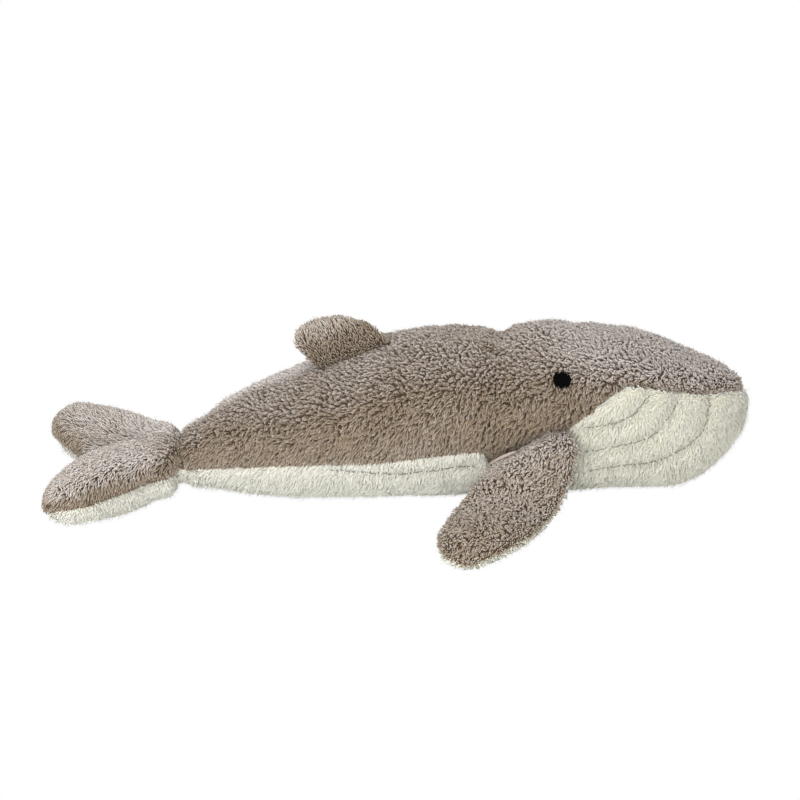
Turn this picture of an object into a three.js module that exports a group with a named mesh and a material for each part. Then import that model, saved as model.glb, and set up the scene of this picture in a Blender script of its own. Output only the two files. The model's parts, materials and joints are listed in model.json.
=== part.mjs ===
import * as THREE from "three";

// A stuffed plush whale that lies on its belly, sewn from pile plush panels over loose filling.
// Every length is in millimetres. +X points to the nose, +Y to the whale's left, +Z up, and the
// floor that it lies on is z = 0. The origin is under the middle of the whole whale.
// Names that end in share or shares are parts of the named size that they follow.

// The body pouch, from the nose to the end of the tail stock
const bodyLength = 362;
const bodyWidth = 118;
const bodyHeight = 104;

// The cloth, from the tips of its pile to the back of its knit, and how closely pieces lie
const clothThickness = 3;
const seamGap = 0.3;
const fillingGap = 0.9;
const seamEdge = 1.6; // a sewn root's rounded edge, from its axis

// The pectoral flippers, from the hinge seam on the body's side
const flipperReach = 71;
const flipperChord = 64;
const flipperThickness = 26;
const flipperSweep = 58;
const flipperRootLength = 48;
const flipperRootRise = 17;
// where the middle of the root is: along the body's length, and up its height
const flipperRootShares = [0.4028, 0.447];

// The tail flukes
const flukeSpan = 154;
const flukeChord = 87;
const flukeThickness = 42;
const tailHingeGap = 0.6;
const tailEdge = 2.4; // height of the pinched edge that the flukes are sewn to

// The dorsal fin
const finRootLength = 51;
const finHeight = 27;
const finThickness = 17;
const finSetback = 17;
const finRootShare = 0.704; // where the middle of the root is, along the body's length

// The embroidered eyes
const eyeWidth = 11;
const eyeHeight = 9;
const eyeDepth = 1.4;
// where the middle of the eye is: along the body's length, and up its height
const eyeShares = [0.351, 0.832];

// The sewn throat pleats
const threadDiameter = 1.1;

// The steps of the surfaces
const bodyRings = 28;
const sideSteps = 4;
const bellySteps = 3;
const backSteps = 7;
const leafRibs = 11;
const leafSteps = 8;
const threadSides = 6;
const threadSteps = 18;
const eyeSteps = 16;
const probes = 9;

// Where the whale lies along X: the nose and the flukes reach equally far from the origin
const noseX = (bodyLength + tailHingeGap + flukeChord) / 2;
const tailX = noseX - bodyLength;

// The body's sections. Each row has the place from nose to tail as a share of the body's length, the
// half width as a share of its width, and the middle's height and the half height as shares of its height.
const bodySectionShares = [
  [0, 0.004, 0.52, 0.004],
  [0.007, 0.085, 0.508, 0.105],
  [0.019, 0.16, 0.494, 0.18],
  [0.041, 0.237, 0.464, 0.253],
  [0.062, 0.288, 0.444, 0.314],
  [0.083, 0.326, 0.434, 0.368],
  [0.105, 0.356, 0.427, 0.408],
  [0.13, 0.384, 0.432, 0.443],
  [0.168, 0.421, 0.46, 0.474],
  [0.21, 0.444, 0.49, 0.491],
  [0.254, 0.459, 0.495, 0.498],
  [0.34, 0.476, 0.509, 0.514],
  [0.381, 0.479, 0.508, 0.512],
  [0.414, 0.474, 0.498, 0.502],
  [0.437, 0.471, 0.486, 0.49],
  [0.465, 0.477, 0.495, 0.498],
  [0.508, 0.49, 0.501, 0.504],
  [0.594, 0.5, 0.497, 0.5],
  [0.635, 0.499, 0.484, 0.487],
  [0.677, 0.491, 0.458, 0.461],
  [0.721, 0.475, 0.432, 0.434],
  [0.762, 0.452, 0.407, 0.408],
  [0.806, 0.422, 0.379, 0.379],
  [0.848, 0.385, 0.355, 0.351],
  [0.89, 0.338, 0.331, 0.318],
  [0.934, 0.275, 0.302, 0.265],
  [0.953, 0.237, 0.275, 0.235],
  [0.975, 0.198, 0.242, 0.2],
  [1, 0.17, 0.215, 0.187],
];
// How far the section swells from an ellipse, over and under its middle: 2 is an ellipse
const topSwell = 2;
const bottomSwell = 2.25;
// Under this angle the underside's rows run straight along the belly, and between the last two it is flat
const bellyAngle = -Math.PI / 5;
const flatAngle = -Math.PI * 0.467;
// The pinched end narrows by this share of its half height for each step towards the edge
const pinchShare = 0.2;
// The belly's flat is cut this share of the body's height deep
const flatShare = 0.005;

// The seam between the back and the underside, as seen from the side: place from nose to tail as a share
// of the body's length, and height as a share of the body's height
const seamShares = [
  [0, 0.6],
  [0.02, 0.615],
  [0.045, 0.645],
  [0.069, 0.66],
  [0.107, 0.68],
  [0.144, 0.712],
  [0.181, 0.749],
  [0.208, 0.775],
  [0.23, 0.787],
  [0.245, 0.78],
  [0.279, 0.705],
  [0.305, 0.626],
  [0.331, 0.552],
  [0.345, 0.515],
  [0.36, 0.4],
  [0.375, 0.3],
  [0.462, 0.27],
  [0.475, 0.34],
  [0.487, 0.42],
  [0.528, 0.417],
  [0.63, 0.384],
  [0.732, 0.349],
  [0.8, 0.336],
  [0.851, 0.313],
  [0.902, 0.282],
  [0.95, 0.25],
  [1, 0.2],
];

// Where along the body the back's cloth comes down in a tab to a flipper's root
const tabShares = [0.345, 0.487];

// The flippers' ribs: how far out as a share of the reach, the rib's middle behind the root's as a share
// of the sweep, the half chord as a share of the chord, the fall from the root as a share of the root's
// height above the tip, the front edge's rise as a share of the root's rise, and the half thickness as a
// share of the thickness
const flipperRibShares = [
  [0, 0, 0.36, 0, 0.48, 0.062],
  [0.057, 0.03, 0.393, 0.03, 0.47, 0.235],
  [0.136, 0.055, 0.45, 0.16, 0.43, 0.375],
  [0.26, 0.155, 0.5, 0.45, 0.28, 0.46],
  [0.373, 0.305, 0.508, 0.73, 0.12, 0.49],
  [0.49, 0.43, 0.495, 0.89, 0.03, 0.5],
  [0.61, 0.53, 0.455, 0.96, 0, 0.485],
  [0.75, 0.63, 0.405, 0.985, 0, 0.455],
  [0.867, 0.71, 0.335, 1, 0, 0.4],
  [0.953, 0.785, 0.23, 1, 0, 0.28],
  [1, 0.82, 0.03, 1, 0, 0.05],
];

// The flukes' ribs from the middle to a tip: how far out as a share of half the span, the front and rear
// edges behind the root as shares of the chord, and the half thickness as a share of the thickness
const flukeRibShares = [
  [0, 0, 0.745, 0.41],
  [0.12, 0, 0.765, 0.445],
  [0.25, 0.012, 0.82, 0.49],
  [0.42, 0.1, 0.895, 0.5],
  [0.6, 0.265, 0.965, 0.465],
  [0.76, 0.43, 0.997, 0.4],
  [0.88, 0.58, 0.99, 0.32],
  [0.96, 0.7, 0.94, 0.21],
  [1, 0.81, 0.85, 0.03],
];

// How full a flipper's or the flukes' front edge is at its root: an ellipse is 1, and less is blunter
const rootFullness = 0.42;

// The dorsal fin's ribs: height as a share of the fin's, the rib's middle behind the root's as a share of
// the setback, the half chord as a share of the root's length, and the half thickness as a share of the
// thickness
const finRibShares = [
  [0, 0, 0.49, 0.095],
  [0.1, 0.1, 0.505, 0.24],
  [0.25, 0.27, 0.51, 0.4],
  [0.42, 0.45, 0.49, 0.49],
  [0.6, 0.62, 0.445, 0.49],
  [0.76, 0.76, 0.38, 0.42],
  [0.9, 0.88, 0.265, 0.29],
  [1, 1, 0.03, 0.05],
];

// The throat pleats of one side, from the front end at the mouth to the rear end, as places along the
// body's length and heights as shares of the body's height
const pleatShares = [
  [[0.2, 0.73], [0.209, 0.7], [0.22, 0.649], [0.239, 0.603], [0.267, 0.571], [0.308, 0.562]],
  [[0.143, 0.682], [0.153, 0.621], [0.167, 0.56], [0.196, 0.479], [0.238, 0.432], [0.31, 0.402]],
  [[0.085, 0.642], [0.088, 0.553], [0.107, 0.432], [0.151, 0.339], [0.196, 0.284], [0.3, 0.245]],
];
// The pleat that runs on along the belly behind the flipper
const bellyPleatShares = [[0.5, 0.312], [0.534, 0.316], [0.599, 0.293], [0.678, 0.294], [0.75, 0.32]];

const pleatColour = 0x4b4a46;
const materials = {
  backPlush: new THREE.MeshStandardMaterial({ color: 0x8c7d70, roughness: 0.95, metalness: 0 }),
  bellyPlush: new THREE.MeshStandardMaterial({ color: 0xdcdacb, roughness: 0.95, metalness: 0 }),
  filling: new THREE.MeshStandardMaterial({ color: 0xf2f1ec, roughness: 1, metalness: 0 }),
  pleatThread: new THREE.MeshStandardMaterial({ color: pleatColour, roughness: 0.8, metalness: 0 }),
  eyeThread: new THREE.MeshStandardMaterial({ color: 0x0c0c0d, roughness: 0.6, metalness: 0 }),
};

// A table's row at a place, read along a smooth curve through the rows
function smoothRow(table, place) {
  const last = table.length - 1;
  let i = 0;
  while (i < last - 1 && table[i + 1][0] < place) i += 1;
  const [before, from, to, after] = [
    table[Math.max(i - 1, 0)],
    table[i],
    table[i + 1],
    table[Math.min(i + 2, last)],
  ];
  const span = to[0] - from[0];
  const t = THREE.MathUtils.clamp((place - from[0]) / span, 0, 1);
  return from.map((value, k) => {
    const slopeIn = ((to[k] - before[k]) / (to[0] - before[0])) * span;
    const slopeOut = ((after[k] - value) / (after[0] - from[0])) * span;
    return (
      value * (2 * t ** 3 - 3 * t ** 2 + 1) +
      slopeIn * (t ** 3 - 2 * t ** 2 + t) +
      to[k] * (3 * t ** 2 - 2 * t ** 3) +
      slopeOut * (t ** 3 - t ** 2)
    );
  });
}

// A table's second column at a place, read along straight lines
function straightValue(table, place) {
  let i = 0;
  while (i < table.length - 2 && table[i + 1][0] < place) i += 1;
  const t = THREE.MathUtils.clamp((place - table[i][0]) / (table[i + 1][0] - table[i][0]), 0, 1);
  return THREE.MathUtils.lerp(table[i][1], table[i + 1][1], t);
}

const alongAt = (x) => (noseX - x) / bodyLength;

// The body's section at a place along it, drawn in from the surface by an inset
function bodySection(along, inset) {
  const section = fullSection(along);
  const fromTail = (1 - along) * bodyLength;
  const halfHeight = Math.min(section.halfHeight, tailEdge / 2 + fromTail / pinchShare);
  return {
    x: section.x - inset * (1 - 2 * along),
    middle: section.middle,
    halfWidth: Math.max(section.halfWidth - inset, section.halfWidth / 8),
    halfHeight: Math.max(halfHeight - inset, halfHeight / 8),
    low: inset,
  };
}

// The section as it would be without the tail's pinch
function fullSection(along) {
  const [, width, middle, half] = smoothRow(bodySectionShares, along);
  return {
    x: noseX - along * bodyLength,
    middle: middle * bodyHeight,
    halfWidth: width * bodyWidth,
    halfHeight: half * bodyHeight,
    low: 0,
  };
}

// A point on a section. Angle 0 is the whale's left side, a quarter turn its top.
function onSection(section, angle) {
  const power = 2 / (Math.sin(angle) < 0 ? bottomSwell : topSwell);
  const swollen = (value) => Math.sign(value) * Math.abs(value) ** power;
  const y = section.halfWidth * swollen(Math.cos(angle));
  const z = section.middle - flatShare * bodyHeight + section.halfHeight * swollen(Math.sin(angle));
  return new THREE.Vector3(section.x, y, Math.max(z, section.low));
}

// The angle at which the section passes a height, on the whale's left side
function angleAtHeight(section, height) {
  const share = (height - section.middle + flatShare * bodyHeight) / section.halfHeight;
  const swell = share < 0 ? bottomSwell : topSwell;
  const limited = THREE.MathUtils.clamp(share, -1, 1);
  return Math.asin(Math.sign(limited) * Math.abs(limited) ** (swell / 2));
}

// Half the body's outer width at a place and height, and the height of its top
function bodySide(x, height) {
  const section = bodySection(alongAt(x), 0);
  return onSection(section, angleAtHeight(section, height)).y;
}
const bodyTop = (x) => onSection(bodySection(alongAt(x), 0), Math.PI / 2).z;

// Places along the body, closer together at the nose and the tail and beside the flippers' tab
function bodyPlaces() {
  const eased = (i) => (1 - Math.cos((Math.PI * i) / bodyRings)) / 2;
  const even = Array.from({ length: bodyRings + 1 }, (_, i) => eased(i));
  const [tabFront, tabRear] = tabShares;
  const corners = seamShares.map(([along]) => along).filter((a) => a >= tabFront && a <= tabRear);
  const apart = 0.35 / bodyRings;
  const clear = even.filter((a) => corners.every((corner) => Math.abs(a - corner) > apart));
  const pinchStart = 1 - (pinchShare * fullSection(1).halfHeight) / bodyLength;
  return [...clear, ...corners, pinchStart].sort((a, b) => a - b);
}

// A closed surface from flat lists of points and of triangles, with its faces turned outwards
function surface(points, triangles) {
  const geometry = new THREE.BufferGeometry();
  const flat = points.flatMap((p) => [p.x, p.y, p.z]);
  geometry.setAttribute("position", new THREE.Float32BufferAttribute(flat, 3));
  const volume = triangles.reduce((sum, [a, b, c]) => {
    const across = new THREE.Vector3().crossVectors(points[b], points[c]);
    return sum + points[a].dot(across);
  }, 0);
  const turned = volume < 0 ? triangles.map(([a, b, c]) => [a, c, b]) : triangles;
  geometry.setIndex(turned.flat());
  geometry.computeVertexNormals();
  return geometry;
}

// Two triangles for the four points of a face
const quad = (a, b, c, d) => [[a, b, c], [a, c, d]];

// A cloth panel: each rib has a row of points on the outside and one of equally many on the inside
function panel(ribs) {
  const across = ribs[0].outer.length;
  const points = ribs.flatMap((rib) => [...rib.outer, ...rib.inner]);
  const outer = (rib, i) => rib * across * 2 + i;
  const inner = (rib, i) => outer(rib, i) + across;
  const faces = [];
  for (let rib = 0; rib < ribs.length - 1; rib += 1) {
    const next = rib + 1;
    for (let i = 0; i < across - 1; i += 1) {
      faces.push(...quad(outer(rib, i), outer(rib, i + 1), outer(next, i + 1), outer(next, i)));
      faces.push(...quad(inner(rib, i), inner(next, i), inner(next, i + 1), inner(rib, i + 1)));
    }
    const end = across - 1;
    faces.push(...quad(outer(rib, 0), outer(next, 0), inner(next, 0), inner(rib, 0)));
    faces.push(...quad(outer(rib, end), inner(rib, end), inner(next, end), outer(next, end)));
  }
  const last = ribs.length - 1;
  for (let i = 0; i < across - 1; i += 1) {
    faces.push(...quad(outer(0, i), inner(0, i), inner(0, i + 1), outer(0, i + 1)));
    faces.push(...quad(outer(last, i), outer(last, i + 1), inner(last, i + 1), inner(last, i)));
  }
  return surface(points, faces);
}

// A closed lump skinned over rings of equally many points
function lump(rings) {
  const around = rings[0].length;
  const middle = (ring) =>
    ring.reduce((sum, p) => sum.add(p), new THREE.Vector3()).divideScalar(ring.length);
  const points = [...rings.flat(), middle(rings[0]), middle(rings.at(-1))];
  const faces = [];
  for (let i = 0; i < around; i += 1) {
    const j = (i + 1) % around;
    for (let ring = 0; ring < rings.length - 1; ring += 1) {
      const [a, b] = [ring * around, (ring + 1) * around];
      faces.push(...quad(a + i, a + j, b + j, b + i));
    }
    const end = (rings.length - 1) * around;
    faces.push([points.length - 2, j, i], [points.length - 1, end + i, end + j]);
  }
  return surface(points, faces);
}

// Points at angles around a section, held half a seam's gap back from the first and the last
function sectionRow(section, angles) {
  const speed = (angle) =>
    Math.hypot(section.halfWidth * Math.sin(angle), section.halfHeight * Math.cos(angle));
  const back = (angle, next) => {
    const room = Math.abs(next - angle) / 3;
    return angle + Math.sign(next - angle) * Math.min(seamGap / 2 / speed(angle), room);
  };
  const held = [...angles];
  held[0] = back(angles[0], angles[1]);
  held[angles.length - 1] = back(angles.at(-1), angles.at(-2));
  return held.map((angle) => onSection(section, angle));
}

// One panel of the body, from the angles of its rows at each place
function bodyPanel(places, angles) {
  return panel(
    places.map((along) => ({
      outer: sectionRow(bodySection(along, 0), angles(along)),
      inner: sectionRow(bodySection(along, clothThickness), angles(along)),
    })),
  );
}

const quarter = Math.PI / 2;
const edgeAngle = quarter / 4;
const angleOfShare = (along, share) => angleAtHeight(fullSection(along), share * bodyHeight);
const seamAngle = (along) => angleOfShare(along, straightValue(seamShares, along));

// The seam as it would run without the tabs, which the back's upper rows follow
const plainSeamShares = seamShares.filter(([a]) => a <= tabShares[0] || a >= tabShares[1]);
const plainSeamAngle = (along) => angleOfShare(along, straightValue(plainSeamShares, along));

const spread = (from, to, steps) =>
  Array.from({ length: steps }, (_, i) => THREE.MathUtils.lerp(from, to, i / steps));

// The back's left rows, from the seam up to the middle
function backAngles(along) {
  const [seam, plain] = [seamAngle(along), plainSeamAngle(along)];
  const middle = (seam + plain) / 2;
  const upper = spread(plain, quarter, backSteps);
  const second = THREE.MathUtils.lerp(middle, quarter, 1 / backSteps);
  return [seam, second, ...upper.slice(2), quarter];
}

// The underside's rows, from the right seam down around the belly to the left one
function undersideAngles(seam) {
  const left = [
    ...spread(seam, bellyAngle, sideSteps),
    ...spread(bellyAngle, flatAngle, bellySteps),
    flatAngle,
  ];
  return [...left.map((angle) => Math.PI - angle), ...left.reverse().map((angle) => 2 * Math.PI + angle)];
}

function addBody(group) {
  // The underside wraps the nose's tip. It opens once there is room for the back's panels, and they
  // start just behind.
  const narrowest = quarter / 3;
  const evenPlaces = bodyPlaces();
  const opening = evenPlaces.find((along) => quarter - seamAngle(along) > narrowest);
  const backStart = opening + (2 * seamGap) / bodyLength;
  const places = [...evenPlaces, backStart].sort((a, b) => a - b);
  const backPlaces = places.filter((along) => along >= backStart);
  const left = (along) => backAngles(along);
  const right = (along) => backAngles(along).reverse().map((angle) => Math.PI - angle);
  const under = (along) => undersideAngles(along < opening ? quarter : seamAngle(along));
  addPiece(group, "back_panel_left", bodyPanel(backPlaces, left), materials.backPlush);
  addPiece(group, "back_panel_right", bodyPanel(backPlaces, right), materials.backPlush);
  addPiece(group, "underside_panel", bodyPanel(places, under), materials.bellyPlush);

  const inset = clothThickness + fillingGap;
  const rings = backPlaces
    .map((along) => ({ section: bodySection(along, inset), along }))
    .filter(({ section }) => Math.min(section.halfWidth, section.halfHeight) > inset)
    .map(({ section, along }) => [
      ...sectionRow(section, left(along)),
      ...sectionRow(section, right(along)),
      ...sectionRow(section, under(along)),
    ]);
  addPiece(group, "body_filling", lump(rings), materials.filling);
}

// How far a leaf swells at an angle around its rib. A front fullness under 1 makes a blunter front.
function leafSwell(rib, angle) {
  const swell = Math.sin(angle);
  const power = Math.cos(angle) > 0 ? rib.frontFullness : 1;
  return Math.sign(swell) * Math.abs(swell) ** power;
}

// A leaf-shaped pouch, such as a flipper. Each rib has its middle, the vector along its half chord and
// the vector along its half thickness. side is 1 for the panel that the thickness points to, and -1 for
// the other.
function leafPanel(ribs, side) {
  const row = (rib, inset) => {
    const [chord, thickness] = [rib.chord.length(), rib.thickness.length()];
    const wide = Math.max(chord - inset, chord / 3);
    const thick = Math.max(thickness - seamGap / 2 - inset, thickness / 6);
    return Array.from({ length: leafSteps + 1 }, (_, i) => {
      const angle = (Math.PI * i) / leafSteps;
      const swell = leafSwell(rib, angle);
      return rib.middle
        .clone()
        .addScaledVector(rib.chord, (wide / chord) * Math.cos(angle))
        .addScaledVector(rib.thickness, (side * (seamGap / 2 + thick * swell)) / thickness);
    });
  };
  return panel(ribs.map((rib) => ({ outer: row(rib, 0), inner: row(rib, clothThickness) })));
}

// The filling of such a pouch, where it is thick enough to hold any
function leafFilling(ribs) {
  const inset = clothThickness + fillingGap;
  const around = 2 * leafSteps;
  const rings = ribs
    .filter((rib) => rib.thickness.length() > inset * 1.3 && rib.chord.length() > inset * 2)
    .map((rib) => {
      const wide = 1 - inset / rib.chord.length();
      const thick = 1 - inset / rib.thickness.length();
      return Array.from({ length: around }, (_, i) => {
        const angle = (2 * Math.PI * i) / around;
        return rib.middle
          .clone()
          .addScaledVector(rib.chord, wide * Math.cos(angle))
          .addScaledVector(rib.thickness, thick * leafSwell(rib, angle));
      });
    });
  return lump(rings);
}

// Ribs spread along a table, closer together at its end, each made by its own function
function spreadRibs(table, makeRib) {
  return Array.from({ length: leafRibs + 1 }, (_, i) => {
    const place = Math.sin((quarter * i) / leafRibs);
    return makeRib(smoothRow(table, place));
  });
}

// The middle of the flipper's root, and how far out its hinge lies so that the rounded root clears the
// body's side all along
const [flipperPlace, flipperLevel] = flipperRootShares;
const flipperRoot = { x: noseX - flipperPlace * bodyLength, z: flipperLevel * bodyHeight };
const flipperHingeY =
  seamGap +
  seamEdge +
  Math.max(
    ...Array.from({ length: probes }, (_, i) => {
      const share = i / (probes - 1) - 1 / 2;
      return bodySide(flipperRoot.x + share * flipperRootLength, flipperRoot.z + share * flipperRootRise);
    }),
  );

function flipperRibs() {
  const rest = flipperThickness / 2 - flatShare * bodyHeight;
  const fallAll = flipperRoot.z - rest;
  const ribs = spreadRibs(flipperRibShares, ([out, back, chord, fall, rise, thickness]) => {
    const half = Math.max(thickness * flipperThickness, seamEdge);
    const lying = Math.min(1, fall);
    const height = flipperRoot.z - fall * fallAll;
    const settled = THREE.MathUtils.lerp(height, Math.max(half - flatShare * bodyHeight, 0), lying ** 6);
    const chordLine = new THREE.Vector3(chord * flipperChord, 0, rise * flipperRootRise);
    return {
      middle: new THREE.Vector3(
        flipperRoot.x - back * flipperSweep,
        -flipperHingeY - out * flipperReach,
        settled,
      ),
      chord: chordLine,
      thickness: new THREE.Vector3(-chordLine.z, 0, chordLine.x).setLength(half),
      frontFullness: THREE.MathUtils.lerp(rootFullness, 1, THREE.MathUtils.smoothstep(out, 0, 2 / 5)),
    };
  });
  return withRoot(ribs, new THREE.Vector3(0, 1, 0));
}

// The ribs of a leaf with its sewn root added, a rounded edge about the hinge line on the body's side
function withRoot(ribs, inward) {
  const [root] = ribs;
  const edge = {
    ...root,
    middle: root.middle.clone().addScaledVector(inward, seamEdge * Math.cos(edgeAngle)),
    thickness: root.thickness.clone().setLength(seamEdge * Math.sin(edgeAngle)),
  };
  return [edge, ...ribs];
}

// The same surface on the other side of the whale
function mirrored(geometry) {
  const copy = geometry.clone();
  copy.scale(1, -1, 1);
  const index = Array.from(copy.index.array);
  for (let i = 0; i < index.length; i += 3) [index[i + 1], index[i + 2]] = [index[i + 2], index[i + 1]];
  copy.setIndex(index);
  copy.computeVertexNormals();
  return copy;
}

function onFloor(geometry) {
  const position = geometry.getAttribute("position");
  for (let i = 0; i < position.count; i += 1) position.setZ(i, Math.max(position.getZ(i), 0));
  return geometry;
}

function addFlippers(group) {
  const ribs = flipperRibs();
  const pieces = [
    ["flipper_upper", onFloor(leafPanel(ribs, 1)), materials.backPlush],
    ["flipper_lower", onFloor(leafPanel(ribs, -1)), materials.bellyPlush],
    ["flipper_filling", leafFilling(ribs), materials.filling],
  ];
  for (const [name, geometry, material] of pieces) {
    addPiece(group, `right_${name}`, geometry, material);
    addPiece(group, `left_${name}`, mirrored(geometry), material);
  }
}

function flukeRibs() {
  const rootX = tailX - tailHingeGap;
  const tailHeight = bodySection(1, 0).middle - flatShare * bodyHeight;
  const half = (sign) =>
    spreadRibs(flukeRibShares, ([out, front, rear, thickness]) => ({
      middle: new THREE.Vector3(
        rootX - ((front + rear) / 2) * flukeChord,
        (sign * out * flukeSpan) / 2,
        tailHeight,
      ),
      chord: new THREE.Vector3(((rear - front) / 2) * flukeChord, 0, 0),
      thickness: new THREE.Vector3(0, 0, thickness * flukeThickness),
      frontFullness: THREE.MathUtils.lerp(rootFullness, 1, THREE.MathUtils.smoothstep(out, 0, 1 / 2)),
    }));
  return [...half(-1).reverse(), ...half(1).slice(1)];
}

function addFlukes(group) {
  const ribs = flukeRibs();
  addPiece(group, "flukes_upper", leafPanel(ribs, 1), materials.backPlush);
  addPiece(group, "flukes_lower", leafPanel(ribs, -1), materials.bellyPlush);
  addPiece(group, "flukes_filling", leafFilling(ribs), materials.filling);
}

// The dorsal fin's hinge runs along the back's ridge, just clear of it
function finLine() {
  const finRootX = noseX - finRootShare * bodyLength;
  const front = finRootX + finRootLength / 2;
  const rear = finRootX - finRootLength / 2;
  const slope = (bodyTop(front) - bodyTop(rear)) / finRootLength;
  const direction = new THREE.Vector3(1, 0, slope).normalize();
  const lift = Math.max(
    ...Array.from({ length: probes }, (_, i) => {
      const x = rear + (i / (probes - 1)) * finRootLength;
      return bodyTop(x) - slope * (x - finRootX);
    }),
  );
  const clear = (seamGap + seamEdge) / direction.x;
  return { direction, middle: new THREE.Vector3(finRootX, 0, lift + clear) };
}

function finRibs() {
  const { direction, middle } = finLine();
  const up = new THREE.Vector3(-direction.z, 0, direction.x);
  const ribs = spreadRibs(finRibShares, ([height, back, chord, thickness]) => ({
    middle: middle
      .clone()
      .addScaledVector(up, height * finHeight)
      .addScaledVector(direction, -back * finSetback),
    chord: direction.clone().setLength(chord * finRootLength),
    thickness: new THREE.Vector3(0, Math.max(thickness * finThickness, seamEdge), 0),
    frontFullness: 1,
  }));
  return withRoot(ribs, up.clone().negate());
}

function addDorsalFin(group) {
  const ribs = finRibs();
  addPiece(group, "dorsal_fin_left", leafPanel(ribs, 1), materials.backPlush);
  addPiece(group, "dorsal_fin_right", leafPanel(ribs, -1), materials.backPlush);
  addPiece(group, "dorsal_fin_filling", leafFilling(ribs), materials.filling);
}

// A point on the right side of the body's surface and the way that the surface faces there
function rightSide(along, height) {
  const at = (place, z) => {
    const section = bodySection(place, 0);
    return onSection(section, Math.PI - angleAtHeight(section, z));
  };
  const step = seamGap / bodyLength;
  const rise = seamGap * 2;
  const point = at(along, height);
  const alongLine = at(along + step, height).sub(at(along - step, height));
  const upLine = at(along, height + rise).sub(at(along, height - rise));
  const normal = new THREE.Vector3().crossVectors(alongLine, upLine).normalize();
  if (normal.y > 0) normal.negate();
  return { point, normal };
}

// A running thread that lies just off the cloth along a route of places and heights
function thread(route) {
  const points = route.map(([along, height]) => {
    const { point, normal } = rightSide(along, height * bodyHeight);
    return point.addScaledVector(normal, threadDiameter / 2 + seamGap);
  });
  const line = new THREE.CatmullRomCurve3(points);
  const seated = Array.from({ length: threadSteps + 1 }, (_, i) => {
    const on = line.getPoint(i / threadSteps);
    const { point, normal } = rightSide(alongAt(on.x), on.z);
    return point.addScaledVector(normal, threadDiameter / 2 + seamGap);
  });
  const outline = new THREE.Shape(
    Array.from({ length: threadSides }, (_, i) => {
      const angle = (2 * Math.PI * i) / threadSides;
      return new THREE.Vector2(Math.cos(angle), Math.sin(angle)).multiplyScalar(threadDiameter / 2);
    }),
  );
  return new THREE.ExtrudeGeometry(outline, {
    steps: threadSteps,
    extrudePath: new THREE.CatmullRomCurve3(seated),
  });
}

function addPleats(group) {
  const routes = [
    ...pleatShares.map((route, i) => [`throat_pleat_${i + 1}`, route]),
    ["belly_pleat", bellyPleatShares],
  ];
  for (const [name, route] of routes) {
    const geometry = thread(route);
    addPiece(group, `right_${name}`, geometry, materials.pleatThread);
    addPiece(group, `left_${name}`, mirrored(indexed(geometry)), materials.pleatThread);
  }
}

// The geometry with an index of its own, as mirrored() needs
function indexed(geometry) {
  const copy = geometry.clone();
  if (!copy.index) copy.setIndex(Array.from({ length: copy.getAttribute("position").count }, (_, i) => i));
  return copy;
}

// An eye of satin stitches: a low dome on the side of the head
function addEyes(group) {
  const [place, level] = eyeShares;
  const { point, normal } = rightSide(place, level * bodyHeight);
  const domeSteps = 4;
  const profile = Array.from({ length: domeSteps + 1 }, (_, i) => {
    const angle = (quarter * i) / domeSteps;
    return new THREE.Vector2((eyeWidth / 2) * Math.cos(angle), eyeDepth * Math.sin(angle));
  });
  profile[domeSteps].x = 0;
  const dome = new THREE.LatheGeometry([new THREE.Vector2(0, 0), ...profile], eyeSteps);
  dome.scale(1, 1, eyeHeight / eyeWidth);
  const seat = point.addScaledVector(normal, seamGap);
  const forward = new THREE.Vector3(1, 0, 0).projectOnPlane(normal).normalize();
  const down = new THREE.Vector3().crossVectors(forward, normal);
  const turn = new THREE.Matrix4().makeBasis(forward, normal, down).setPosition(seat);
  dome.applyMatrix4(turn);
  addPiece(group, "right_eye", dome, materials.eyeThread);
  addPiece(group, "left_eye", mirrored(dome), materials.eyeThread);
}

function addPiece(group, name, geometry, material) {
  const mesh = new THREE.Mesh(geometry, material);
  mesh.name = name;
  group.add(mesh);
}

const whale = new THREE.Group();
addBody(whale);
addFlippers(whale);
addFlukes(whale);
addDorsalFin(whale);
addPleats(whale);
addEyes(whale);

export default whale;
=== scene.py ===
"""The looks of a stuffed plush whale, built around its CAD frame.

The cloth is a soft pouch made from the frame's panels, and the pile is real tufts grown on it. Lengths are
in metres, +X points to the nose, +Y to the whale's left and +Z up, and the floor is z = 0.
"""

import json
import math

import bmesh
import bpy
import numpy as np
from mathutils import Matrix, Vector
from mathutils.bvhtree import BVHTree
from mathutils.kdtree import KDTree


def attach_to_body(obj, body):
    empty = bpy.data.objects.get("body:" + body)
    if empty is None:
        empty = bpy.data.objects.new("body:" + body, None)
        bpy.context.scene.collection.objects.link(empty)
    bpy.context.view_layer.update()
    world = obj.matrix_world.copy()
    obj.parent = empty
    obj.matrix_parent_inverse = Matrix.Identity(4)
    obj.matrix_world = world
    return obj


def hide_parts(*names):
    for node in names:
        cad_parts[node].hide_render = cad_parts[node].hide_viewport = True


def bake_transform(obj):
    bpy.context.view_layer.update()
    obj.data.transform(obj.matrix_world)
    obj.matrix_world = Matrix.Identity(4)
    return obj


MM = 0.001

# The camera, and where the frame's origin lies in the picture
PICTURE_PX = 800
PX_PER_M = 1560
CAMERA_DISTANCE = 1.75
CAMERA_AZIMUTH = math.radians(-4)
CAMERA_ELEVATION = math.radians(24)
ORIGIN_PX = (399, 484)
SENSOR = 0.036

# How steep a surface is, by its normal's rise from the first value to the second
TOP_SIDE = (0.1, 0.8)
CREST_SIDE = (0.5, 0.95)
LOW_SIDE = (-0.1, 0.3)
FLIPPER_TOP_SIDE = (-0.2, 0.8)
UPRIGHT = (0.05, 0.6)

# The cloth under the pile. Each depth is how far it lies under the CAD panel's outside.
VOXEL = 4.2 * MM
SWELL = {"pressure": 4, "frames": 20, "cap": 2.6 * MM, "slack": 0.2}
KNIT_DEPTH = {"back": 2.9 * MM, "underside": 2.2 * MM}

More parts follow.
